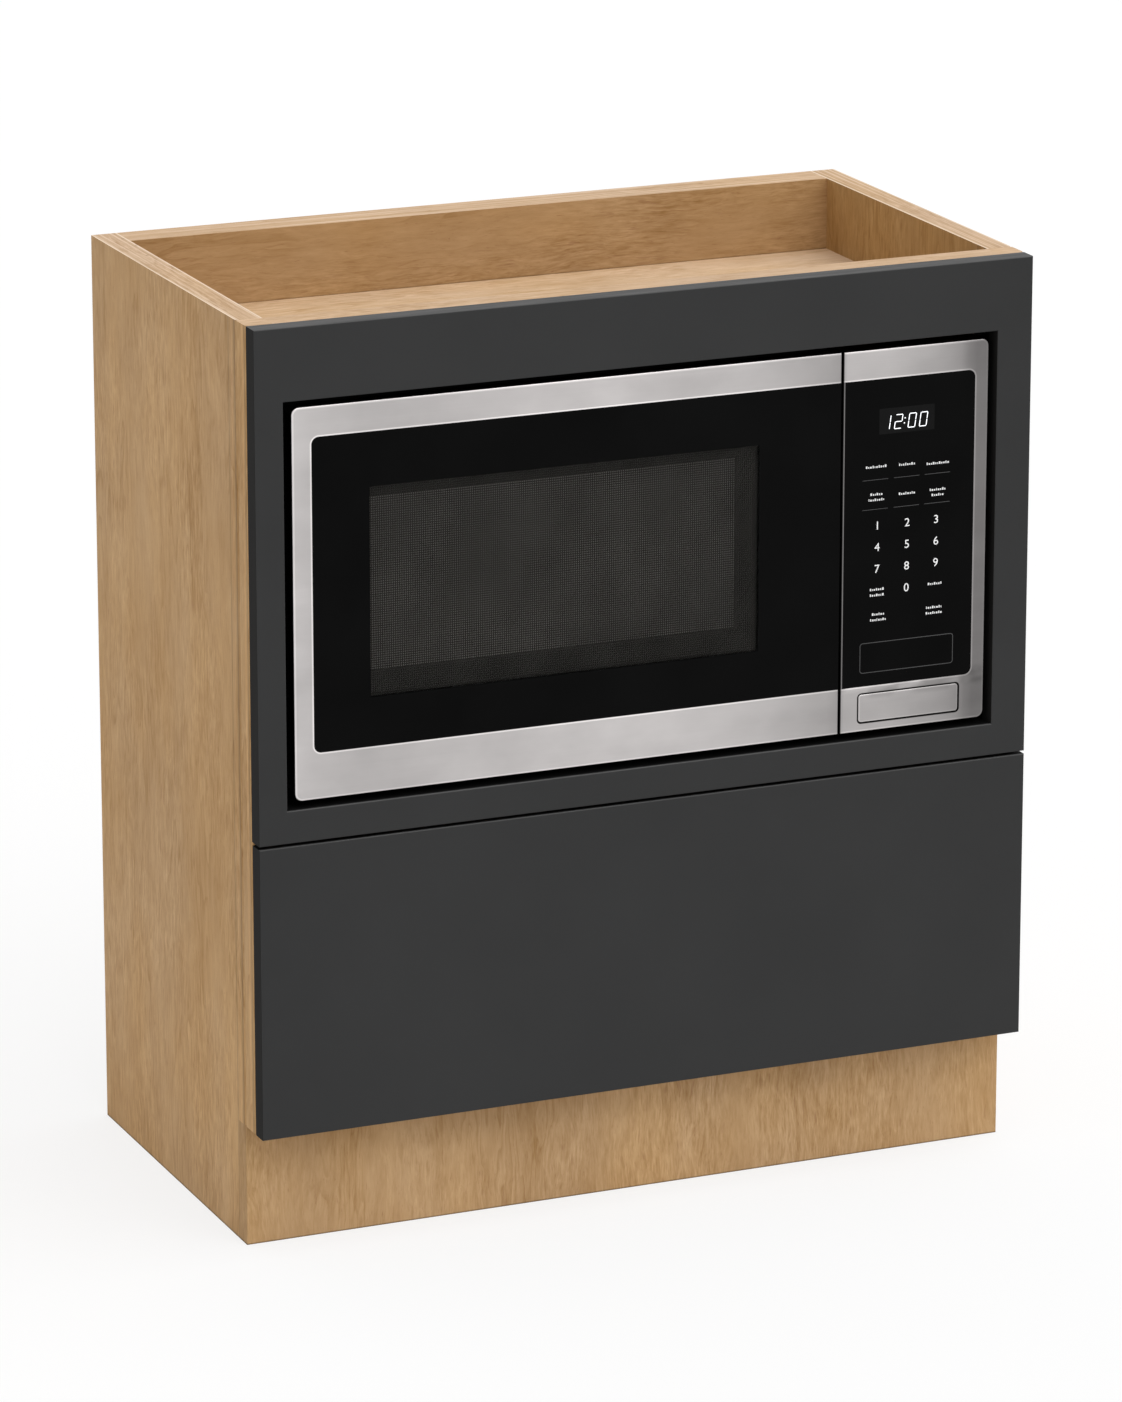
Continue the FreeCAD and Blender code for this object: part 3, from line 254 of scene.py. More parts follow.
def grained(t, axis, along_axis, across, place=None, seed=0.0):
    """Coordinates for a pattern that is long along one axis and fine across it."""
    scale = [across, across, across]
    scale[AXES[axis]] = along_axis
    return t.stretch(tuple(scale), place, tuple(seed * share for share in SEED_SHARES))


def facing_up(t):
    """1 on faces that look up or down."""
    return t.above(t.math("ABSOLUTE", t.parts(t.normal)["Z"]), UPWARD)


def stripe(t, value, middle, half, depth):
    """A factor that dips to 1 - depth along a narrow band."""
    return t.span(t.away(value, middle), half * 0.4, half, 1.0 - depth, 1.0)


def shifted(t, place, noise, amount):
    """A place moved a little by a coloured noise, so that a pattern over it bends."""
    return t.vector("ADD", place, t.times(t.vector("SUBTRACT", noise, (0.5, 0.5, 0.5)), amount))


def coloured_noise(t, vector):
    return t.node("ShaderNodeTexNoise", {"Vector": vector, "Scale": 1.0, "Detail": 2.0}).outputs["Color"]


# Wood veneer

# How the grain wanders: cells per metre along and across it, seed, and reach in metres
BENDS = ((3.0, 8.0, 2.0, 0.030), (22.0, 36.0, 4.0, 0.008))

# How a board's grain is made up: cells per metre along and across it, detail, and how much it counts
GRAIN = ((4.0, 10.0, 3.0, 0.12), (15.0, 34.0, 2.0, 0.09), (9.0, 120.0, 3.0, 0.08),
         (34.0, 260.0, 3.0, 0.19), (62.0, 520.0, 2.0, 0.19), (90.0, 950.0, 2.0, 0.12))
GRAIN_SEED = 3.0
CLUSTERED_FROM = 3

# Layers over the grain: seed, cells per metre along and across it, detail, roughness, and the
# values of the noise between which the layer sets in
LAYERS = {
    "cluster": (9.0, 5.0, 11.0, 2.0, 0.5, 0.40, 0.60),
    "patchy": (19.0, 8.0, 16.0, 2.0, 0.5, 0.42, 0.58),
    "pore": (11.0, 95.0, 1300.0, 2.0, 0.5, 0.64, 0.73),
    "fleck": (15.0, 48.0, 330.0, 1.0, 0.4, 0.66, 0.76),
    "warm": (17.0, 5.0, 12.0, 2.0, 0.5, 0.35, 0.65),
}

# Growth lines: seed and cells per metre along the grain of the noise whose contours they follow,
# how many lines it has from 0 to 1, how dark they are, and the tone that balances them
HILL_SEED = 13.0
HILL_CELLS = 3.4
LINES = 11.0
LINE_DEPTH = 0.34
LINE_BALANCE = 0.035

TONE = ((0.70, 0.615, 0.475), (1.29, 1.37, 1.56))
HUE = ((1.018, 0.990, 0.930), (0.997, 1.004, 1.040))
PORE_TINT = (0.30, 0.05, 0.0)
PORE_SHADE = 0.74
FLECK_SHADE = 0.78


def layer(t, name, axis, place, seed, to_low=0.0, to_high=1.0):
    """One layer of the veneer's pattern."""
    shift, along_axis, across, detail, roughness, low, high = LAYERS[name]
    noise = t.noise(grained(t, axis, along_axis, across, place, seed + shift), 1.0, detail, roughness)
    return t.span(noise, low, high, to_low, to_high)


def growth_lines(t, axis, place, bent, seed, rings):
    """Lines that darken slowly and end sharply, here and there on the board."""
    hills = t.noise(grained(t, axis, HILL_CELLS, rings, bent, seed + HILL_SEED), 1.0, 2.0, 0.45)
    step = t.math("FRACT", t.math("MULTIPLY", hills, LINES))
    line = t.both(t.math("POWER", step, 3.0), t.span(step, 0.93, 1.0, 1.0, 0.0))
    return t.both(line, layer(t, "patchy", axis, place, seed))


def vary(t, place, axis, seed, rings):
    """How light the veneer is at a place, around 0.5, its pores as a factor, and its finest streaks."""
    bent = place
    for along_axis, across, shift, reach in BENDS:
        noise = coloured_noise(t, grained(t, axis, along_axis, across, place, seed + shift))
        bent = shifted(t, bent, noise, reach)
    cluster = layer(t, "cluster", axis, place, seed, 0.35, 1.0)
    value = 0.5
    for step, (along_axis, across, detail, weight) in enumerate(GRAIN):
        cells = grained(t, axis, along_axis, across, bent, seed + GRAIN_SEED * step)
        fine = t.noise(cells, 1.0, detail, 0.6)
        part = t.spread(fine, -1.0, 1.0)
        if step >= CLUSTERED_FROM:
            part = t.both(part, cluster)
        value = t.math("MULTIPLY_ADD", part, weight, value)
    lines = growth_lines(t, axis, place, bent, seed, rings)
    value = t.math("MULTIPLY_ADD", lines, -LINE_DEPTH, t.math("ADD", value, LINE_BALANCE))
    dark = t.both(layer(t, "fleck", axis, bent, seed), cluster)
    pores = layer(t, "pore", axis, bent, seed, 1.0, PORE_SHADE)
    return value, t.scaled_where(pores, dark, FLECK_SHADE), fine


# The bay round the oven: half its width, its floor and ceiling, and how far back its black paint, a painted
# shade, goes
BAY_HALF = INSIDE_X + 0.0005
BAY_LOW = SHELF_TOP - 0.0005
BAY_HIGH = DECK_TOP + 0.0025
BAY_BACK = -0.080
BAY_SHADE_BLACK = grey(0.002)

# Above this height a face that looks up is the floor of the well, which isn't painted
DECK_FACE = DECK_TOP - 0.005


def bay_shade_paint(t, base):
    """The wood that shows round the oven, inside the cut-out, is painted black as painted shade."""
    xyz = t.parts()
    deck = t.both(facing_up(t), t.above(xyz["Z"], DECK_FACE))
    within = t.both(t.below(t.math("ABSOLUTE", xyz["X"]), BAY_HALF), t.above(xyz["Z"], BAY_LOW),
                    t.below(xyz["Z"], BAY_HIGH), t.below(xyz["Y"], BAY_BACK), t.math("SUBTRACT", 1.0, deck))
    return t.colour(within, base, BAY_SHADE_BLACK)


def wood(name, axis, face, seed=0.0, top=None, top_axis=None, inner=None, rings=44.0, marks=None, bay=False):
    """Pale birch-like veneer. Faces that look up have their own colour, with the grain along top_axis.

    The faces of the side panels that look at each other have the colour inner, darkened with painted shade.
    """
    t = Tree(name)
    place = t.place
    mean = face
    if top:
        up = facing_up(t)
        mean = t.colour(up, face, top)
        if top_axis:
            swapped = t.parts()
            order = TURNED[(axis, top_axis)]
            turned = t.node("ShaderNodeCombineXYZ", {i: swapped[n] for i, n in enumerate(order)}).outputs[0]
            place = t.node("ShaderNodeMix", {0: up, 4: t.place, 5: turned}, data_type="VECTOR").outputs[1]
    if inner:
        inside = t.below(t.math("ABSOLUTE", t.parts()["X"]), INSIDE_X + 0.0015)
        mean = t.colour(t.both(inside, t.math("SUBTRACT", 1.0, up)), mean, inner)
    value, pores, fine = vary(t, place, axis, seed, rings)
    base = t.vector("MULTIPLY", t.colour(value, *TONE), mean)
    base = t.vector("MULTIPLY", base, t.colour(layer(t, "warm", axis, place, seed), *HUE))
    base = t.vector("MULTIPLY", base, t.colour(pores, PORE_TINT, grey(1.0)))
    if marks:
        base = marks(t, base)
    if bay:
        base = bay_shade_paint(t, base)
    height = t.math("MULTIPLY_ADD", fine, 0.5, t.math("MULTIPLY", pores, 0.5))
    return t.finish(t.surface(Base_Color=base, Roughness=t.spread(fine, 0.58, 0.68),
                              Normal=t.bump(height, 0.00010, 0.5), Specular_IOR_Level=0.12))


# Upright lines near the cabinet's front edge: place, half width, and how dark, or pale where negative
FRONT_LINES = ((-0.1885, 0.0020, 0.24), (-0.1830, 0.0028, -0.12), (-0.1635, 0.0024, 0.32),
               (-0.1565, 0.0026, -0.11), (-0.1485, 0.0020, 0.22))
LINE_WOBBLE = 0.0010
FRONT_SHADE = (-0.120, 0.955)

# Painted highlights on the arrises of the rims, and small pin marks on the left one
ARRIS_INSET = 0.0007
ARRIS_WIDTH = (0.0006, 0.0016)
ARRIS_HIGHLIGHT = (0.80, 0.65, 0.50)
PINS = ((-0.3594, 0.1859), (-0.3572, 0.1554), (-0.3624, 0.1109))
PIN_RADIUS = (0.0010, 0.0020)
PIN_DARK = (0.20, 0.115, 0.055)
RIM_PALE = (0.74, 0.57, 0.42)
RIM_DARK = (0.42, 0.27, 0.145)

# Where the wood meets the floor: a painted contact shadow along the floor, and painted light that makes the
# side paler towards the floor
FLOOR_SHADOW_LINE = 0.0006
FOOT_HEIGHT = 0.35
FOOT_PAINTED_LIGHT = 1.10


def front_lines(t, base, elsewhere):
    """Dark and pale upright lines near the cabinet's front edge, a little uneven."""
    wobble = t.noise(t.stretch((1.0, 1.0, 14.0)), 1.0, 3.0, 0.6)
    y = t.math("MULTIPLY_ADD", wobble, LINE_WOBBLE, t.parts()["Y"])
    for line in FRONT_LINES:
        base = t.times(base, t.mix(elsewhere, stripe(t, y, *line), 1.0))
    return base


def stile_marks(t, base):
    """The lines near the front edge, on the stile's outer face."""
    outer = t.above(t.math("ABSOLUTE", t.parts()["X"]), OUTSIDE_X - 0.0004)
    return front_lines(t, base, t.math("MAXIMUM", facing_up(t), t.math("SUBTRACT", 1.0, outer)))


def rim_lines(t, base, scale, up):
    """Fine pale and darker lines along a board's upper edge."""
    line = t.noise(t.stretch(scale), 1.0, 2.0, 0.6)
    base = t.colour(t.both(t.span(line, 0.53, 0.64, 0.0, 0.62), up), base, RIM_PALE)
    return t.colour(t.both(t.span(line, 0.36, 0.46, 0.40, 0.0), up), base, RIM_DARK)


def side_marks(t, base):
    """Lines down the front edge with a slight painted shade near it, painted highlights on the arrises and
    pin marks on top, a painted contact shadow at the floor, and painted light low down.
    """
    xyz = t.parts()
    up = facing_up(t)
    base = front_lines(t, base, up)
    base = t.times(base, t.span(xyz["Y"], BOX_FRONT_Y, FRONT_SHADE[0], FRONT_SHADE[1], 1.0))
    # Painted contact shadow at the floor, and painted light that makes the lower part paler
    base = t.times(base, t.both(t.span(xyz["Z"], FLOOR_SHADOW_LINE, 0.0022, 0.42, 1.0),
                                t.span(xyz["Z"], 0.0, FOOT_HEIGHT, FOOT_PAINTED_LIGHT, 1.0)))
    width = t.math("ABSOLUTE", xyz["X"])
    # Painted highlight along both arrises, on faces that look up
    for middle in (INSIDE_X + ARRIS_INSET, OUTSIDE_X - ARRIS_INSET):
        pale = t.span(t.away(width, middle), *ARRIS_WIDTH, 0.9, 0.0)
        base = t.colour(t.both(pale, up), base, ARRIS_HIGHLIGHT)
    base = rim_lines(t, base, (420.0, 3.0, 1.0), up)
    for x, y in PINS:
        dx = t.math("SUBTRACT", xyz["X"], x)
        dy = t.math("SUBTRACT", xyz["Y"], y)
        reach = t.math("SQRT", t.math("ADD", t.both(dx, dx), t.both(dy, dy)))
        base = t.colour(t.both(t.span(reach, *PIN_RADIUS, 0.55, 0.0), up), base, PIN_DARK)
    return base


def back_marks(t, base):
    """Fine pale lines along the top edge and a painted shade line in the corner where the back meets the
    deck.
    """
    height = t.parts()["Z"]
    base = rim_lines(t, base, (3.0, 420.0, 1.0), facing_up(t))
    # Painted shade in the corner above the deck
    corner_shade = t.span(height, DECK_TOP + 0.0002, DECK_TOP + 0.0016, 0.62, 1.0)
    return t.times(base, t.math("MAXIMUM", corner_shade, t.below(height, DECK_TOP - 0.0005)))


def toe_marks(t, base):
    """A painted contact shadow at the floor, and painted shade below the drawer."""
    height = t.parts()["Z"]
    # Noise that makes the edge of the painted shade uneven
    smudge_and_shade_noise = t.noise(t.stretch((9.0, 9.0, 30.0)), 1.0, 3.0, 0.55)
    edge = t.math("MULTIPLY_ADD", smudge_and_shade_noise, 0.035, height)
    base = t.times(base, t.span(edge, 0.088, 0.125, 1.0, 0.86))
    return t.times(base, t.span(height, FLOOR_SHADOW_LINE, 0.0020, 0.40, 1.0))


PLY_LAYERS = 2900.0


def plywood(name):
    """Pale lacquered ply whose thin layers show along edges that look up."""
    t = Tree(name)
    grain = t.noise(grained(t, "x", 6.0, 140.0), 1.0, 4.0, 0.6)
    blotch = t.noise(t.stretch((3.0, 9.0, 9.0)), 1.0, 2.0, 0.5)
    face = t.colour(t.span(t.math("ADD", grain, blotch), 0.7, 1.3), (0.50, 0.36, 0.20), (0.68, 0.53, 0.34))
    across = t.math("ADD", t.parts()["X"], t.parts()["Y"])
    ply = t.math("SINE", t.math("MULTIPLY", across, PLY_LAYERS))
    edge = t.colour(t.span(ply, -0.4, 0.4), (0.36, 0.24, 0.13), (0.64, 0.49, 0.31))
    base = t.colour(facing_up(t), face, edge)
    return t.finish(t.surface(Base_Color=base, Roughness=t.spread(grain, 0.40, 0.52),
                              Normal=t.bump(grain, 0.0001, 0.4), Specular_IOR_Level=0.25))


# Charcoal paint

CHARCOAL = ((0.0350, 0.0353, 0.0355), (0.0385, 0.0388, 0.0390))
CHARCOAL_SIDE_SHADE = (0.0150, 0.0144, 0.0139)
CHARCOAL_TOP_LIT = ((0.078, 0.078, 0.078), (0.108, 0.107, 0.107))
CHARCOAL_ARRIS_HIGHLIGHT = grey(0.084)
CHARCOAL_LEDGE_SHADE = grey(0.0060)
LEDGE_DEPTH = (0.0009, 0.0037)
LEDGES_BELOW = 0.5


def charcoal(name):
    """Matte charcoal paint on board, with painted shade on the side edges that face left and painted light
    on the top edge.

    Behind their arrises, the ledges in the cut-out and between the fronts are dark with painted shade, and
    arrises that turn up carry painted highlights.
    """
    t = Tree(name)
    xyz = t.parts()
    facing = t.parts(t.normal)
    side = t.span(facing["X"], -0.95, -0.75, 1.0, 0.0)
    up = t.span(facing["Z"], 0.55, 0.92)
    cloud = t.noise(t.place, 7.0, 3.0, 0.5)
    grit = t.noise(t.place, 2400.0, 2.0, 0.6)
    brushed = t.noise(t.stretch((14.0, 260.0, 260.0)), 1.0, 3.0, 0.6)
    # Painted shade on faces that look left, and painted light with brushed streaks on faces that look up
    base = t.colour(side, t.colour(t.spread(cloud), *CHARCOAL), CHARCOAL_SIDE_SHADE)
    base = t.colour(up, base, t.colour(t.span(brushed, 0.35, 0.65), *CHARCOAL_TOP_LIT))
    # Painted shade on the low ledges behind the front arrises
    behind = t.span(xyz["Y"], FRONT_Y + LEDGE_DEPTH[0], FRONT_Y + LEDGE_DEPTH[1])
    base = t.colour(t.both(behind, t.below(xyz["Z"], LEDGES_BELOW), up), base, CHARCOAL_LEDGE_SHADE)
    # Painted highlight on arrises that turn upward
    straight = t.math("ABSOLUTE", facing["Y"])
    for axis in ("X", "Z"):
        straight = t.math("MAXIMUM", straight, t.math("ABSOLUTE", facing[axis]))
    turn = t.math("SUBTRACT", 1.0, straight)
    lift = t.span(facing["Z"], 0.15, 0.45, 0.30, 1.0)
    base = t.colour(t.both(t.span(turn, 0.05, 0.25, 0.0, 0.85), lift), base, CHARCOAL_ARRIS_HIGHLIGHT)
    return t.finish(t.surface(Base_Color=base, Roughness=t.spread(grit, 0.55, 0.65),
                              Normal=t.bump(grit, 0.00004, 0.4), Specular_IOR_Level=0.03))


# Metal

def metal(t, axis, low, high, grain=0.5):
    """Brushed metal: its colour and its streaks."""
    streak = t.noise(grained(t, axis, 6.0, 2600.0), 1.0, 4.0, 0.65)
    broad = t.noise(grained(t, axis, 3.0, 60.0), 1.0, 3.0, 0.5)
    cloud = t.noise(t.place, 14.0, 2.0, 0.5)
    rest = (1.0 - grain) / 2
    value = t.math("MULTIPLY_ADD", streak, grain, t.math("MULTIPLY", broad, rest))
    value = t.math("MULTIPLY_ADD", cloud, rest, value)
    return t.colour(t.span(value, 0.35, 0.65), low, high), streak


def metallic(t, base, streak, rough):
    return t.finish(t.surface(Base_Color=base, Roughness=t.spread(streak, *rough), Metallic=1.0,
                              Normal=t.bump(streak, 0.00002, 0.35), Anisotropic=0.4))


def plated(name, axis, low, high, rough):
    t = Tree(name)
    base, streak = metal(t, axis, low, high)
    return metallic(t, base, streak, rough)


def along(t, value, stops):
    """A factor that runs in straight stretches through a list of (place, level) stops."""
    level = stops[0][1]
    for (low, before), (high, after) in zip(stops, stops[1:]):
        level = t.math("ADD", t.span(value, low, high, 0.0, after - before), level)
    return level


def rectangle_distance(t, rectangle, radius):
    """How far a place is outside an upright rounded rectangle, and less than nothing inside."""
    xyz = t.parts()
    low, high = rectangle
    gaps = []
    inner = []
    for axis, a, b in (("X", low[0], high[0]), ("Z", low[1], high[1])):
        past = t.math("SUBTRACT", t.away(xyz[axis], (a + b) / 2), (b - a) / 2 - radius)
        inner.append(past)
        gaps.append(t.math("POWER", t.math("MAXIMUM", past, 0.0), 2.0))
    outside = t.math("SQRT", t.math("ADD", gaps[0], gaps[1]))
    inside = t.math("MINIMUM", t.math("MAXIMUM", inner[0], inner[1]), 0.0)
    return t.math("SUBTRACT", t.math("ADD", outside, inside), radius)


STEEL = ((0.475, 0.453, 0.448), (0.535, 0.512, 0.506))
STEEL_BRUSHING = 0.3

# How bright the trim is along the oven's width: a painted reflection, darker to the right
SHEEN = ((-0.340, 1.06), (-0.325, 1.00), (-0.280, 0.92), (-0.220, 0.98), (-0.120, 1.07), (-0.030, 1.12),
         (0.050, 1.06), (0.110, 0.95), (0.150, 0.86), (0.178, 0.76), (0.1890, 0.68), (0.1920, 0.80),
         (0.1960, 0.98), (0.235, 0.98), (0.260, 0.89), (0.285, 0.80), (0.300, 0.71), (0.311, 0.62),
         (0.319, 0.46), (0.327, 0.37), (0.341, 0.36))

TRIM_RADIUS = 0.007
BUTTON_RADIUS = 0.003

# Bands at a distance from an outline, or along x: where each sets in, is full, starts to fade and ends
RIM = (-0.0003, 0.0001, 0.0011, 0.0016)
GROOVE = (0.0002, 0.0006, 0.0013, 0.0018)
RIDGE = (-0.0016, -0.0012, -0.0006, -0.0003)
POST = (0.1884, 0.1886, 0.1970, 0.1972)
THREAD = (0.1921, 0.1923, 0.1934, 0.1938)
THREAD_LEVEL = 0.42

GLASS_MIDDLE = (GLASS[0][1] + GLASS[1][1]) / 2
GLASS_HALF = (GLASS[1][1] - GLASS[0][1]) / 2

# Where fingers have touched the trim under the control glass
SMUDGE_Z = 0.470
FOOT_X = (0.192, 0.194)

# The colours of the trim's arrises, from left to right: painted highlights, dimmer to the right
EDGE_BRIGHT = (0.74, 0.72, 0.71)
EDGE_DULL = (0.24, 0.23, 0.23)


def soiled(t, xyz, sheen):
    """Finger marks under the control glass, on trim that is a little darker there."""
    smudge_and_shade_noise = t.noise(t.stretch((34.0, 34.0, 50.0), offset=(3.1, 0.7, 1.9)), 1.0, 2.0, 0.5)
    under = t.both(t.span(t.away(xyz["Z"], SMUDGE_Z), 0.004, 0.012, 1.0, 0.0),
                   t.span(xyz["X"], 0.186, 0.196))
    sheen = t.scaled_where(sheen, t.both(under, t.span(smudge_and_shade_noise, 0.42, 0.58)), 0.70)
    foot = t.both(t.span(xyz["Z"], SMUDGE_Z - 0.004, SMUDGE_Z, 1.0, 0.0), t.span(xyz["X"], *FOOT_X))
    return t.scaled_where(sheen, foot, 0.88)


def rimmed(t, xyz, sheen):
    """Painted highlights: bright hairlines along the oven's outline and round the glass."""
    outline = rectangle_distance(t, OVEN, TRIM_RADIUS)
    outer = t.both(t.span(outline, -0.0022, -0.0017), t.span(xyz["X"], 0.326, 0.336, 1.0, 0.3))
    rim = t.band(rectangle_distance(t, GLASS, TRIM_RADIUS), RIM)
    for line, factor, least in ((outer, 1.35, 0.52), (rim, 1.62, 0.56)):
        bright = t.math("MAXIMUM", t.math("MULTIPLY", sheen, factor), least)
        sheen = t.mix(line, sheen, bright)
    return sheen


def divided(t, xyz, sheen):
    """The button's groove darkened as painted shade and its ridge lifted as a painted highlight, the post
    beside the control glass darkened with painted shade, and the thin thread beside it lit as a painted
    highlight.
    """
    key = rectangle_distance(t, BUTTON, BUTTON_RADIUS)
    sheen = t.scaled_where(sheen, t.band(key, GROOVE), 0.25)
    sheen = t.scaled_where(sheen, t.band(key, RIDGE), 1.25)
    rows = t.span(t.away(xyz["Z"], GLASS_MIDDLE), GLASS_HALF - 0.0005, GLASS_HALF + 0.0005, 1.0, 0.0)
    sheen = t.scaled_where(sheen, t.both(rows, t.band(xyz["X"], POST)), 0.06)
    return t.mix(t.both(rows, t.band(xyz["X"], THREAD)), sheen, THREAD_LEVEL)


def stainless(name):
    """The oven's brushed trim: cloudy, with a painted reflection that darkens it to the right, painted
    highlights on its arrises, and painted shade on its returns and beside the seam.
    """
    t = Tree(name)
    base, streak = metal(t, "x", *STEEL, STEEL_BRUSHING)
    xyz = t.parts()
    blotch = t.noise(t.stretch((16.0, 16.0, 26.0)), 1.0, 3.0, 0.55)
    sheen = t.both(along(t, xyz["X"], SHEEN), t.spread(blotch, 0.93, 1.05))
    sheen = divided(t, xyz, rimmed(t, xyz, soiled(t, xyz, sheen)))
    off = t.away(xyz["X"], SEAM_X)
    # Painted shade darkens the trim on both sides of the seam between the door and the control panel
    base = t.times(base, t.both(sheen, t.span(off, 0.0014, 0.0020, 0.10, 1.0)))
    # Painted highlights on the rounded arrises at the front, away from the seam
    flat = t.math("ABSOLUTE", t.parts(t.normal)["Y"])
    arris = t.both(t.span(flat, 0.35, 0.90, 0.75, 0.0), t.span(off, 0.0020, 0.0030),
                   t.below(xyz["Y"], DOOR[0][1] + 0.0015))
    base = t.colour(arris, base, t.colour(t.span(xyz["X"], 0.26, 0.34), EDGE_BRIGHT, EDGE_DULL))
    # Painted shade: the returns behind the front face are nearly black
    returned = t.span(xyz["Y"], DOOR[0][1] + 0.0005, DOOR[0][1] + 0.0013)
    return metallic(t, t.colour(returned, base, grey(0.008)), streak, (0.28, 0.38))


# Paint, glass and the oven's insides

def painted(name, low, high, rough=(0.4, 0.5), grit=1800.0, depth=0.00003, specular=0.5, shade_left_of=None):
    """A painted or moulded surface with a little variation in colour and gloss.

    Left of the given x it is painted black, as painted shade.
    """
    t = Tree(name)
    cloud = t.noise(t.place, 22.0, 3.0, 0.5)
    fine = t.noise(t.place, grit, 2.0, 0.6)
    base = t.colour(t.spread(cloud), low, high)
    if shade_left_of is not None:
        base = t.colour(t.below(t.parts()["X"], shade_left_of), base, grey(0.003))
    return t.finish(t.surface(Base_Color=base, Roughness=t.spread(fine, *rough),
                              Normal=t.bump(fine, depth, 0.5), Specular_IOR_Level=specular))


DOOR_INSIDE = ((0.036, 0.036, 0.035), (0.047, 0.047, 0.046))


def door_inside(name):
    """The door's inner paint: charcoal on the face that closes on the oven, and black on the edges."""
    t = Tree(name)
    cloud = t.spread(t.noise(t.place, 22.0, 3.0, 0.5))
    grit = t.noise(t.place, 1800.0, 2.0, 0.6)
    face = t.colour(cloud, *DOOR_INSIDE)
    edge = t.colour(cloud, grey(0.0020), grey(0.0040))
    base = t.colour(t.above(t.parts(t.normal)["Y"], 0.5), edge, face)
    return t.finish(t.surface(Base_Color=base, Roughness=t.spread(grit, 0.4, 0.5),
                              Normal=t.bump(grit, 0.00003, 0.5), Specular_IOR_Level=0.1))


WINDOW_TINT = (0.80, 0.79, 0.77, 1.0)
WINDOW_GLOSS = 0.004
WINDOW_RADIUS = 0.002
WINDOW_EDGE = 0.0002


def black_glass(name, window=None):
    """Glass printed black at the back. Inside the window it is clear and lightly tinted."""
    t = Tree(name)
    smear = t.noise(t.place, 9.0, 3.0, 0.5)
    base = t.colour(t.spread(smear), grey(0.0020), grey(0.0034))
    gloss = t.surface(Base_Color=base, Roughness=t.spread(smear, 0.06, 0.11), Specular_IOR_Level=0.03)
    if window is None:
        return t.finish(gloss)
    clear = t.node("ShaderNodeBsdfTransparent", {"Color": WINDOW_TINT}).outputs[0]
    shine = t.node("ShaderNodeBsdfGlossy", {"Roughness": 0.06}).outputs[0]
    pane = t.blend(WINDOW_GLOSS, clear, shine)
    reach = rectangle_distance(t, window, WINDOW_RADIUS)
    return t.finish(t.blend(t.span(reach, -WINDOW_EDGE, WINDOW_EDGE, 1.0, 0.0), gloss, pane))


# The distance between holes, and the radii, as shares of it, between which a hole's edge lies
SCREEN_PITCH = 0.0021
SCREEN_HOLE = (0.33, 0.36)
SCREEN = ((0.0235, 0.0233, 0.0230), (0.0370, 0.0367, 0.0362))


def lattice(t):
    """1 in a close lattice of round holes, 0 between them."""
    xyz = t.parts()
    squares = []
    for axis in ("X", "Z"):
        off = t.math("SUBTRACT", t.math("FRACT", t.math("DIVIDE", xyz[axis], SCREEN_PITCH)), 0.5)
        squares.append(t.math("POWER", off, 2.0))
    reach = t.math("SQRT", t.math("ADD", *squares))
    return t.span(reach, *SCREEN_HOLE, 1.0, 0.0)


def perforated(name):
    """Dark sheet with a close lattice of round holes."""
    t = Tree(name)
    cloud = t.noise(t.place, 30.0, 3.0, 0.5)
    base = t.colour(t.spread(cloud), *SCREEN)
    sheet = t.surface(Base_Color=base, Roughness=t.spread(cloud, 0.5, 0.6), Specular_IOR_Level=0.15)
    opened = t.node("ShaderNodeBsdfTransparent").outputs[0]
    return t.finish(t.blend(lattice(t), sheet, opened))


# The pale front is painted light, standing in for the lit inside of the oven
PANE_FRONT_LIT = ((0.36, 0.36, 0.356), (0.64, 0.64, 0.635))
PANE_INSIDE = ((0.045, 0.045, 0.044), (0.060, 0.060, 0.058))
PANE_HOLE = grey(0.010)


def clouded_pane(name):
    """The thin inner pane: pale behind the holes, a painted light that stands in for the lit inside of the
    oven, and dark with the holes' pattern from inside the oven.
    """
    t = Tree(name)
    cloud = t.noise(t.stretch((11.0, 11.0, 7.0)), 1.0, 4.0, 0.6)
    seen = t.spread(cloud)
    inside = t.colour(lattice(t), t.colour(seen, *PANE_INSIDE), PANE_HOLE)
    base = t.colour(t.above(t.parts(t.normal)["Y"], 0.5), t.colour(seen, *PANE_FRONT_LIT), inside)
    return t.finish(t.surface(Base_Color=base, Roughness=t.spread(cloud, 0.2, 0.35), Specular_IOR_Level=0.2))


def clear_glass(name, tint):
    t = Tree(name)
    wave = t.noise(t.place, 30.0, 2.0, 0.5)
    return t.finish(t.surface(Base_Color=(*tint, 1.0), Roughness=t.spread(wave, 0.01, 0.04), IOR=1.5,
                              Normal=t.bump(wave, 0.0002, 0.2), Transmission_Weight=1.0))


def mica(name):
    t = Tree(name)
    flake = t.node("ShaderNodeTexVoronoi", {"Vector": t.place, "Scale": 260.0}).outputs["Distance"]
    cloud = t.noise(t.place, 60.0, 4.0, 0.6)
    value = t.math("ADD", t.math("MULTIPLY", flake, 0.5), t.math("MULTIPLY", cloud, 0.5))
    base = t.colour(t.span(value, 0.2, 0.7), (0.46, 0.40, 0.29), (0.68, 0.62, 0.50))
    return t.finish(t.surface(Base_Color=base, Roughness=t.spread(cloud, 0.3, 0.5)))


# How close the core's sheets and the coils' turns lie, and half the core's length
CORE_LAYERS = 5200.0
COIL_TURNS = 4200.0
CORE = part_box("hv_transformer")
CORE_MIDDLE_Y = (CORE[0][1] + CORE[1][1]) / 2
CORE_HALF = 0.0401


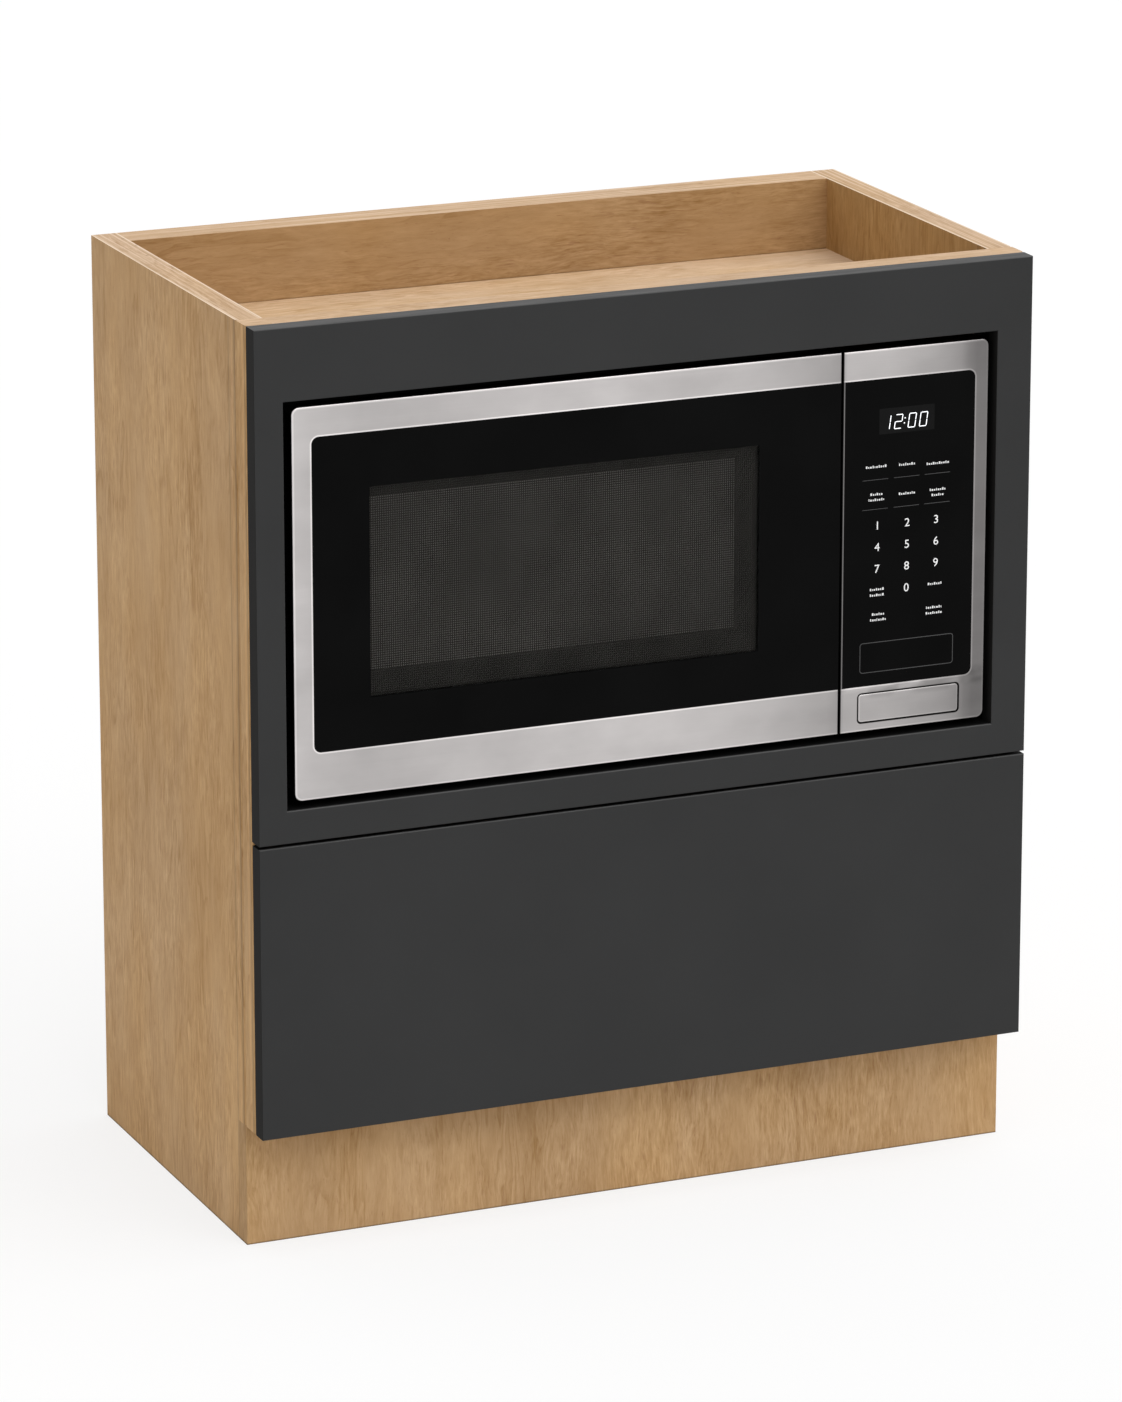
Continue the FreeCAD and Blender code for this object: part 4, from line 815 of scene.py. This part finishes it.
def transformer(name):
    """Laminated core with copper windings before and behind the middle."""
    t = Tree(name)
    xyz = t.parts()
    sheet = t.math("SINE", t.math("MULTIPLY", xyz["Y"], CORE_LAYERS))
    core = t.colour(t.span(sheet, -0.5, 0.5), (0.10, 0.085, 0.07), (0.22, 0.19, 0.16))
    turn = t.math("SINE", t.math("MULTIPLY", xyz["Z"], COIL_TURNS))
    coil = t.colour(t.span(turn, -0.6, 0.6), (0.16, 0.05, 0.02), (0.52, 0.22, 0.09))
    base = t.colour(t.above(t.away(xyz["Y"], CORE_MIDDLE_Y), CORE_HALF), core, coil)
    return t.finish(t.surface(Base_Color=base, Roughness=t.span(sheet, -1.0, 1.0, 0.35, 0.5)))


def glow(name, colour, strength):
    """Lit segments, a little uneven."""
    t = Tree(name)
    cloud = t.noise(t.place, 400.0, 2.0, 0.5)
    base = t.colour(t.spread(cloud), tuple(0.92 * c for c in colour), colour)
    return t.finish(t.surface(Base_Color=base, Emission_Color=base, Emission_Strength=strength,
                              Roughness=0.4))


def viewing(t):
    """1 for rays that make a picture of what they meet, and 0 for those that only light things."""
    paths = t.node("ShaderNodeLightPath").outputs
    joined = paths["Is Camera Ray"]
    for kind in ("Is Glossy Ray", "Is Transmission Ray"):
        joined = t.math("MAXIMUM", joined, paths[kind])
    return joined


def floor_material(name):
    """A pale floor that looks white where nothing shades it."""
    t = Tree(name)
    viewed = viewing(t)
    dust = t.noise(t.place, 3.0, 3.0, 0.5)
    base = t.colour(viewed, t.colour(t.spread(dust), grey(0.78), grey(0.80)), grey(0.20))
    strength = t.math("MULTIPLY", viewed, SEEN_FLOOR)
    return t.finish(t.surface(Base_Color=base, Emission_Strength=strength, Roughness=0.9,
                              Emission_Color=(*grey(1.0), 1.0), Specular_IOR_Level=0.1))


# Materials of the nodes that come from the part

# Colours of the veneer
FACE = (0.490, 0.306, 0.142)
TOP = (0.530, 0.362, 0.216)
# The next colour, for the faces of the side panels that look at each other, is darkened with painted shade
INNER_SHADE = (0.415, 0.250, 0.096)
BACK = (0.400, 0.250, 0.117)
DECK = (0.610, 0.435, 0.268)
SHADED = (0.455, 0.288, 0.138)

# The front plate is painted black left of this x, a painted shade where it shows beside the door
HINGE_SHADE_X = -0.3325

MATERIAL = {
    "side": wood("veneer_side", "z", FACE, 0.0, TOP, "y", INNER_SHADE, 30.0, side_marks, True),
    "back": wood("veneer_back", "x", BACK, 21.0, TOP, rings=46.0, marks=back_marks),
    "deck": wood("veneer_deck", "x", DECK, 33.0, rings=34.0, bay=True),
    "toe": wood("veneer_toe", "z", SHADED, 47.0, rings=46.0, marks=toe_marks),
    "stile": wood("veneer_stile", "z", FACE, 52.0, TOP, "x", rings=30.0, marks=stile_marks, bay=True),
    "rail": wood("veneer_rail", "x", SHADED, 61.0, TOP, bay=True),
    "ply": plywood("drawer_ply"),
    "charcoal": charcoal("charcoal_paint"),
    "stainless": stainless("brushed_steel"),
    "zinc": plated("zinc_plate", "y", (0.42, 0.43, 0.45), (0.56, 0.57, 0.58), (0.30, 0.42)),
    "glass": black_glass("black_glass"),
    "door_glass": black_glass("door_glass", WINDOW),
    "screen": perforated("perforated_sheet"),
    "pane": clouded_pane("window_sheet"),
    "dark": painted("dark_paint", grey(0.008), grey(0.012), (0.45, 0.6), specular=0.25),
    "inner": door_inside("door_inside_paint"),
    "enamel": painted("enamel", (0.57, 0.57, 0.55), (0.61, 0.61, 0.59), (0.25, 0.35), 900.0, 0.00008),
    "plate": painted("front_plate_enamel", (0.57, 0.57, 0.55), (0.61, 0.61, 0.59), (0.25, 0.35), 900.0,
                     0.00008, shade_left_of=HINGE_SHADE_X),
    "tray": clear_glass("tray_glass", (0.93, 0.97, 0.95)),
    "white": painted("white_plastic", (0.62, 0.62, 0.60), (0.70, 0.70, 0.68), (0.40, 0.50)),
    "black": painted("black_plastic", grey(0.012), grey(0.018), (0.35, 0.5)),
    "rubber": painted("rubber", grey(0.015), grey(0.024), (0.7, 0.85), 900.0, 0.0001),
    "mica": mica("mica_sheet"),
    "core": transformer("transformer_windings"),
    "display": painted("display_lens", grey(0.0070), grey(0.0090), (0.08, 0.12), specular=0.03),
}

# What each node wears; the others wear zinc
WEARS = {
    "side": ("left_side_panel", "right_side_panel"),
    "back": ("back_panel", "hanging_rail"),
    "deck": ("top_deck", "microwave_shelf", "bottom_panel"),
    "toe": ("toe_kick_board",),
    "stile": ("left_stile", "right_stile"),
    "rail": ("top_rail", "middle_rail", "bottom_rail"),
    "ply": ("drawer_box_left", "drawer_box_right", "drawer_box_front", "drawer_box_back", "drawer_floor"),
    "charcoal": ("upper_front_panel", "drawer_front"),
    "stainless": ("control_bezel", "release_button", "door_frame"),
    "glass": ("control_glass",),
    "door_glass": ("door_glass",),
    "screen": ("door_screen",),
    "pane": ("door_inner_pane",),
    "dark": ("microwave_case", "hinge_brackets"),
    "inner": ("door_inner_frame",),
    "enamel": ("cavity_liner",),
    "plate": ("cavity_front_plate",),
    "tray": ("turntable_glass",),
    "white": ("fan_housing", "fan_blade", "release_lever", "turntable_coupler", "roller_ring", "roller_1",
              "roller_2", "roller_3", "latch_hooks"),
    "black": ("power_cord_gland",),
    "rubber": ("microwave_feet",),
    "mica": ("waveguide_cover",),
    "core": ("hv_transformer",),
    "display": ("display_window",),
}
finish_of = {node: finish for finish, nodes in WEARS.items() for node in nodes}
for name, item in NODE.items():
    item.data.materials.clear()
    item.data.materials.append(MATERIAL[finish_of.get(name, "zinc")])


# Mesh helpers

class Shape:
    """Vertices and faces that grow part by part into one piece."""

    def __init__(self):
        self.vertices = []
        self.faces = []

    def add(self, points, polygons):
        start = len(self.vertices)
        self.vertices.extend(points)
        self.faces.extend(tuple(start + i for i in polygon) for polygon in polygons)

    def slab(self, outline, thickness):
        """Adds a flat plate with the given x, z outline, whose back lies on the control glass."""
        count = len(outline)
        polygons = [tuple(range(count)), tuple(range(2 * count - 1, count - 1, -1))]
        for i in range(count):
            j = (i + 1) % count
            polygons.append((j, i, count + i, count + j))
        self.add([(x, y, z) for y in (GLASS_Y - thickness, GLASS_Y) for x, z in outline], polygons)

    def piece(self, name, material, body, slot):
        """A new mesh object that rides on a body and wears the given material; the slot is not used."""
        mesh = bpy.data.meshes.new(name)
        mesh.from_pydata([tuple(v) for v in self.vertices], [], self.faces)
        mesh.update()
        mesh.materials.append(material)
        piece = bpy.data.objects.new(name, mesh)
        bpy.context.scene.collection.objects.link(piece)
        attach(piece, body)
        return piece


def bar(low, high):
    return [(low[0], low[1]), (high[0], low[1]), (high[0], high[1]), (low[0], high[1])]


# Clock: slanted seven-segment numbers, lit on the control glass

CLOCK_LEFT = 0.2370
CLOCK_LOW = 0.7134
CLOCK_HEIGHT = 0.0137
CLOCK_WIDTH = 0.0076
CLOCK_STROKE = 0.00072
CLOCK_DEPTH = 0.0002
SLANT = 0.14
CLOCK_DIGITS = (("1", -0.0055), ("2", 0.0065), ("0", 0.0203), ("0", 0.0318))
SEGMENTS = {"0": "abcdef", "1": "bc", "2": "abged"}
COLON_LEFT = 0.0160
COLON_DOTS = (0.32, 0.66)
DOT_SIZE = (0.0010, 0.0011)


def segment_outlines(width, height, thick):
    """The outlines of the seven segments of one digit whose low left corner is at the origin."""
    gap = thick * 0.18
    half = thick / 2
    middle = height / 2

    def lying(z):
        return [(half + gap, z), (thick + gap, z + half), (width - thick - gap, z + half),
                (width - half - gap, z), (width - thick - gap, z - half), (thick + gap, z - half)]

    def standing(x, low, high):
        return [(x, low + gap), (x + half, low + half + gap), (x + half, high - half - gap),
                (x, high - gap), (x - half, high - half - gap), (x - half, low + half + gap)]

    return {
        "a": lying(height - half), "g": lying(middle), "d": lying(half),
        "f": standing(half, middle, height - half), "b": standing(width - half, middle, height - half),
        "e": standing(half, half, middle), "c": standing(width - half, half, middle),
    }


def clock():
    shape = Shape()
    outlines = segment_outlines(CLOCK_WIDTH, CLOCK_HEIGHT, CLOCK_STROKE)
    for digit, start in CLOCK_DIGITS:
        for segment in SEGMENTS[digit]:
            outline = [(CLOCK_LEFT + start + x + SLANT * z, CLOCK_LOW + z) for x, z in outlines[segment]]
            shape.slab(outline, CLOCK_DEPTH)
    for share in COLON_DOTS:
        rise = share * CLOCK_HEIGHT
        x, z = CLOCK_LEFT + COLON_LEFT + SLANT * rise, CLOCK_LOW + rise
        shape.slab(bar((x, z), (x + DOT_SIZE[0], z + DOT_SIZE[1])), CLOCK_DEPTH)
    return shape.piece("clock_digits", glow("clock_glow", (0.95, 0.97, 1.0), 0.78), "cabinet", "display")


# Keypad: plain numbers, and rows of small blocks as the keys' labels

PRINT = 0.00015
DIGIT_HEIGHT = 0.0076
CAPITAL_SHARE = 0.69
STROKE_GROWTH = 0.00002
DIGIT_COLUMNS = (0.2280, 0.2583, 0.2879)
DIGIT_ROWS = ((0.6241, "123"), (0.6036, "456"), (0.5830, "789"), (0.5622, " 0 "))


def text_mesh(text, height, x, z):
    """Vertices and faces of a text with its middle at x, z, flat on the control glass."""
    curve = bpy.data.curves.new("text", "FONT")
    curve.body = text
    curve.align_x = "CENTER"
    curve.size = height / CAPITAL_SHARE
    curve.offset = STROKE_GROWTH
    curve.extrude = PRINT / 2
    curve.resolution_u = 6
    holder = bpy.data.objects.new("text", curve)
    bpy.context.scene.collection.objects.link(holder)
    mesh = bpy.data.meshes.new_from_object(holder)
    turn = Matrix.Rotation(math.pi / 2, 4, "X")
    shift = Matrix.Translation((x, GLASS_Y - PRINT / 2, z - height / 2))
    points = [shift @ turn @ v.co for v in mesh.vertices]
    polygons = [tuple(p.vertices) for p in mesh.polygons]
    bpy.data.objects.remove(holder)
    bpy.data.curves.remove(curve)
    bpy.data.meshes.remove(mesh)
    return points, polygons


def keypad():
    shape = Shape()
    for z, row in DIGIT_ROWS:
        for x, digit in zip(DIGIT_COLUMNS, row):
            if digit != " ":
                shape.add(*text_mesh(digit, DIGIT_HEIGHT, x, z))
    return shape.piece("keypad_digits", painted("white_print", grey(0.80), grey(0.88)), "cabinet",
                       "white_plastic")


# Rows of blocks: where the middle of each is, and its width
LABEL_ROWS = ((0.2260, 0.6795, 0.0195), (0.2573, 0.6790, 0.0155), (0.2888, 0.6770, 0.0215),
              (0.2266, 0.6535, 0.0115), (0.2576, 0.6515, 0.0165), (0.2889, 0.6520, 0.0165),
              (0.2266, 0.6483, 0.0150), (0.2889, 0.6470, 0.0110),
              (0.2282, 0.5632, 0.0145), (0.2282, 0.5578, 0.0125), (0.2873, 0.5625, 0.0135),
              (0.2297, 0.5395, 0.0130), (0.2297, 0.5342, 0.0155), (0.2868, 0.5400, 0.0160),
              (0.2868, 0.5347, 0.0170))
LABEL_HEIGHT = 0.0017
BLOCKS = (0.0015, 0.0010, 0.0017, 0.0012, 0.0008, 0.0016, 0.0011)
BLOCK_GAP = 0.00085
TALL_BLOCK = 0.85
LOW_BLOCK = 0.45


def block_row(shape, x, z, width, height, first):
    """A row of small blocks of uneven width and height, centred on x, z."""
    sizes = []
    while sum(sizes) + BLOCK_GAP * len(sizes) < width:
        sizes.append(BLOCKS[(first + len(sizes)) % len(BLOCKS)])
    left = x - (sum(sizes) + BLOCK_GAP * (len(sizes) - 1)) / 2
    for count, size in enumerate(sizes, first):
        top = z + height * (LOW_BLOCK if count % 3 else TALL_BLOCK)
        shape.slab(bar((left, z - height / 2), (left + size, top)), PRINT)
        left += size + BLOCK_GAP


def key_labels():
    shape = Shape()
    for count, (x, z, width) in enumerate(LABEL_ROWS):
        block_row(shape, x, z, width, LABEL_HEIGHT, count * 3)
    return shape.piece("keypad_labels", painted("pale_print", grey(0.72), grey(0.82)), "cabinet",
                       "white_plastic")


# The thin printed frame near the foot of the control glass, and the lines below the upper labels
KEY_FRAME = ((0.2115, 0.4844), (0.3071, 0.5133))
KEY_FRAME_WIDTH = 0.0007
KEY_FRAME_RADIUS = 0.003
CORNER_STEPS = 6
LINE_ROWS = (0.6675, 0.6396)
LINE_COLUMNS = (0.2254, 0.2572, 0.2885)
LINE_HALF = (0.013, 0.00025)


def rounded_outline(rectangle, radius):
    low, high = shrunk(rectangle, radius)
    points = []
    for x, z, start in ((high[0], low[1], -90), (high[0], high[1], 0), (low[0], high[1], 90),
                        (low[0], low[1], 180)):
        for step in range(CORNER_STEPS + 1):
            angle = math.radians(start + 90.0 * step / CORNER_STEPS)
            points.append((x + radius * math.cos(angle), z + radius * math.sin(angle)))
    return points


def key_outline():
    outer = rounded_outline(KEY_FRAME, KEY_FRAME_RADIUS)
    inner = rounded_outline(shrunk(KEY_FRAME, KEY_FRAME_WIDTH), KEY_FRAME_RADIUS - KEY_FRAME_WIDTH)
    count = len(outer)
    polygons = []
    for i in range(count):
        j = (i + 1) % count
        polygons.append((i, j, count + j, count + i))
        polygons.append((2 * count + j, 2 * count + i, 3 * count + i, 3 * count + j))
        polygons.append((j, i, 2 * count + i, 2 * count + j))
        polygons.append((count + i, count + j, 3 * count + j, 3 * count + i))
    shape = Shape()
    shape.add([(x, y, z) for y in (GLASS_Y - PRINT, GLASS_Y) for x, z in outer + inner], polygons)
    dx, dz = LINE_HALF
    for z in LINE_ROWS:
        for x in LINE_COLUMNS:
            shape.slab(bar((x - dx, z - dz), (x + dx, z + dz)), PRINT)
    return shape.piece("keypad_outline", painted("grey_print", grey(0.030), grey(0.042)), "cabinet",
                       "black_plastic")


# The button's return spring: a fixed coil, though the real one gets shorter as the button goes in

SPRING_RADIUS = 0.0066
WIRE_RADIUS = 0.0006
SPRING_TURNS = 5
SPRING_STEPS = 30
WIRE_SIDES = 10


def return_spring():
    low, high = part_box("button_spring")
    x0, z0 = (low[0] + high[0]) / 2, (low[2] + high[2]) / 2
    y0, y1 = low[1] + WIRE_RADIUS, high[1] - WIRE_RADIUS
    count = SPRING_TURNS * SPRING_STEPS
    points = []
    for step in range(count + 1):
        turn = 2 * math.pi * step / SPRING_STEPS
        for side in range(WIRE_SIDES):
            angle = 2 * math.pi * side / WIRE_SIDES
            radius = SPRING_RADIUS + WIRE_RADIUS * math.cos(angle)
            y = y0 + (y1 - y0) * step / count + WIRE_RADIUS * math.sin(angle)
            points.append((x0 + radius * math.cos(turn), y, z0 - radius * math.sin(turn)))
    last = len(points) - 1
    polygons = [tuple(range(WIRE_SIDES)), tuple(range(last, last - WIRE_SIDES, -1))]
    for start in range(0, count * WIRE_SIDES, WIRE_SIDES):
        for side in range(WIRE_SIDES):
            a, b = start + side, start + (side + 1) % WIRE_SIDES
            polygons.append((b, a, a + WIRE_SIDES, b + WIRE_SIDES))
    shape = Shape()
    shape.add(points, polygons)
    piece = shape.piece("return_spring", MATERIAL["zinc"], "cabinet", "zinc")
    piece.data.shade_smooth()
    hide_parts("button_spring")
    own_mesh(piece)


clock()
keypad()
key_labels()
key_outline()
return_spring()


# Floor, light and camera

def floor():
    mesh = bpy.data.meshes.new("floor")
    corners = bar((-FLOOR_HALF, -FLOOR_HALF), (FLOOR_HALF, FLOOR_HALF))
    mesh.from_pydata([(x, y, 0) for x, y in corners], [], [(0, 1, 2, 3)])
    mesh.materials.append(floor_material("pale_floor"))
    plane = bpy.data.objects.new("floor", mesh)
    bpy.context.scene.collection.objects.link(plane)


def aimed(name, data, direction):
    """A lamp or camera that looks along a direction."""
    holder = bpy.data.objects.new(name, data)
    holder.rotation_mode = "QUATERNION"
    holder.rotation_quaternion = Vector(direction).to_track_quat("-Z", "Y")
    bpy.context.scene.collection.objects.link(holder)
    return holder


def lamp(name, strength, direction):
    light = bpy.data.lights.new(name, "SUN")
    light.energy = strength
    light.angle = LAMP_SPREAD
    aimed(name, light, direction)


def world():
    made = bpy.data.worlds.new("studio")
    t = Nodes(made)
    strength = t.span(viewing(t), 0.0, 1.0, DOME, SEEN_SKY)
    background = t.node("ShaderNodeBackground", {"Color": (*grey(1.0), 1.0), "Strength": strength})
    t.node("ShaderNodeOutputWorld", {"Surface": background.outputs[0]})
    bpy.context.scene.world = made


def camera():
    data = bpy.data.cameras.new("camera")
    data.lens = LENS
    data.sensor_width = SENSOR
    data.shift_y = SHIFT_Y
    data.clip_end = FAR
    turn, down = math.radians(CAMERA_TURN), math.radians(CAMERA_DOWN)
    ahead = (-math.sin(turn) * math.cos(down), math.cos(turn) * math.cos(down), -math.sin(down))
    holder = aimed("camera", data, ahead)
    holder.location = CAMERA_AT
    bpy.context.scene.camera = holder


floor()
lamp("overhead", TOP_LAMP, TOP_LAMP_AIM)
lamp("front", FRONT_LAMP, FRONT_LAMP_AIM)
world()
camera()
bpy.context.scene.view_settings.view_transform = "Standard"
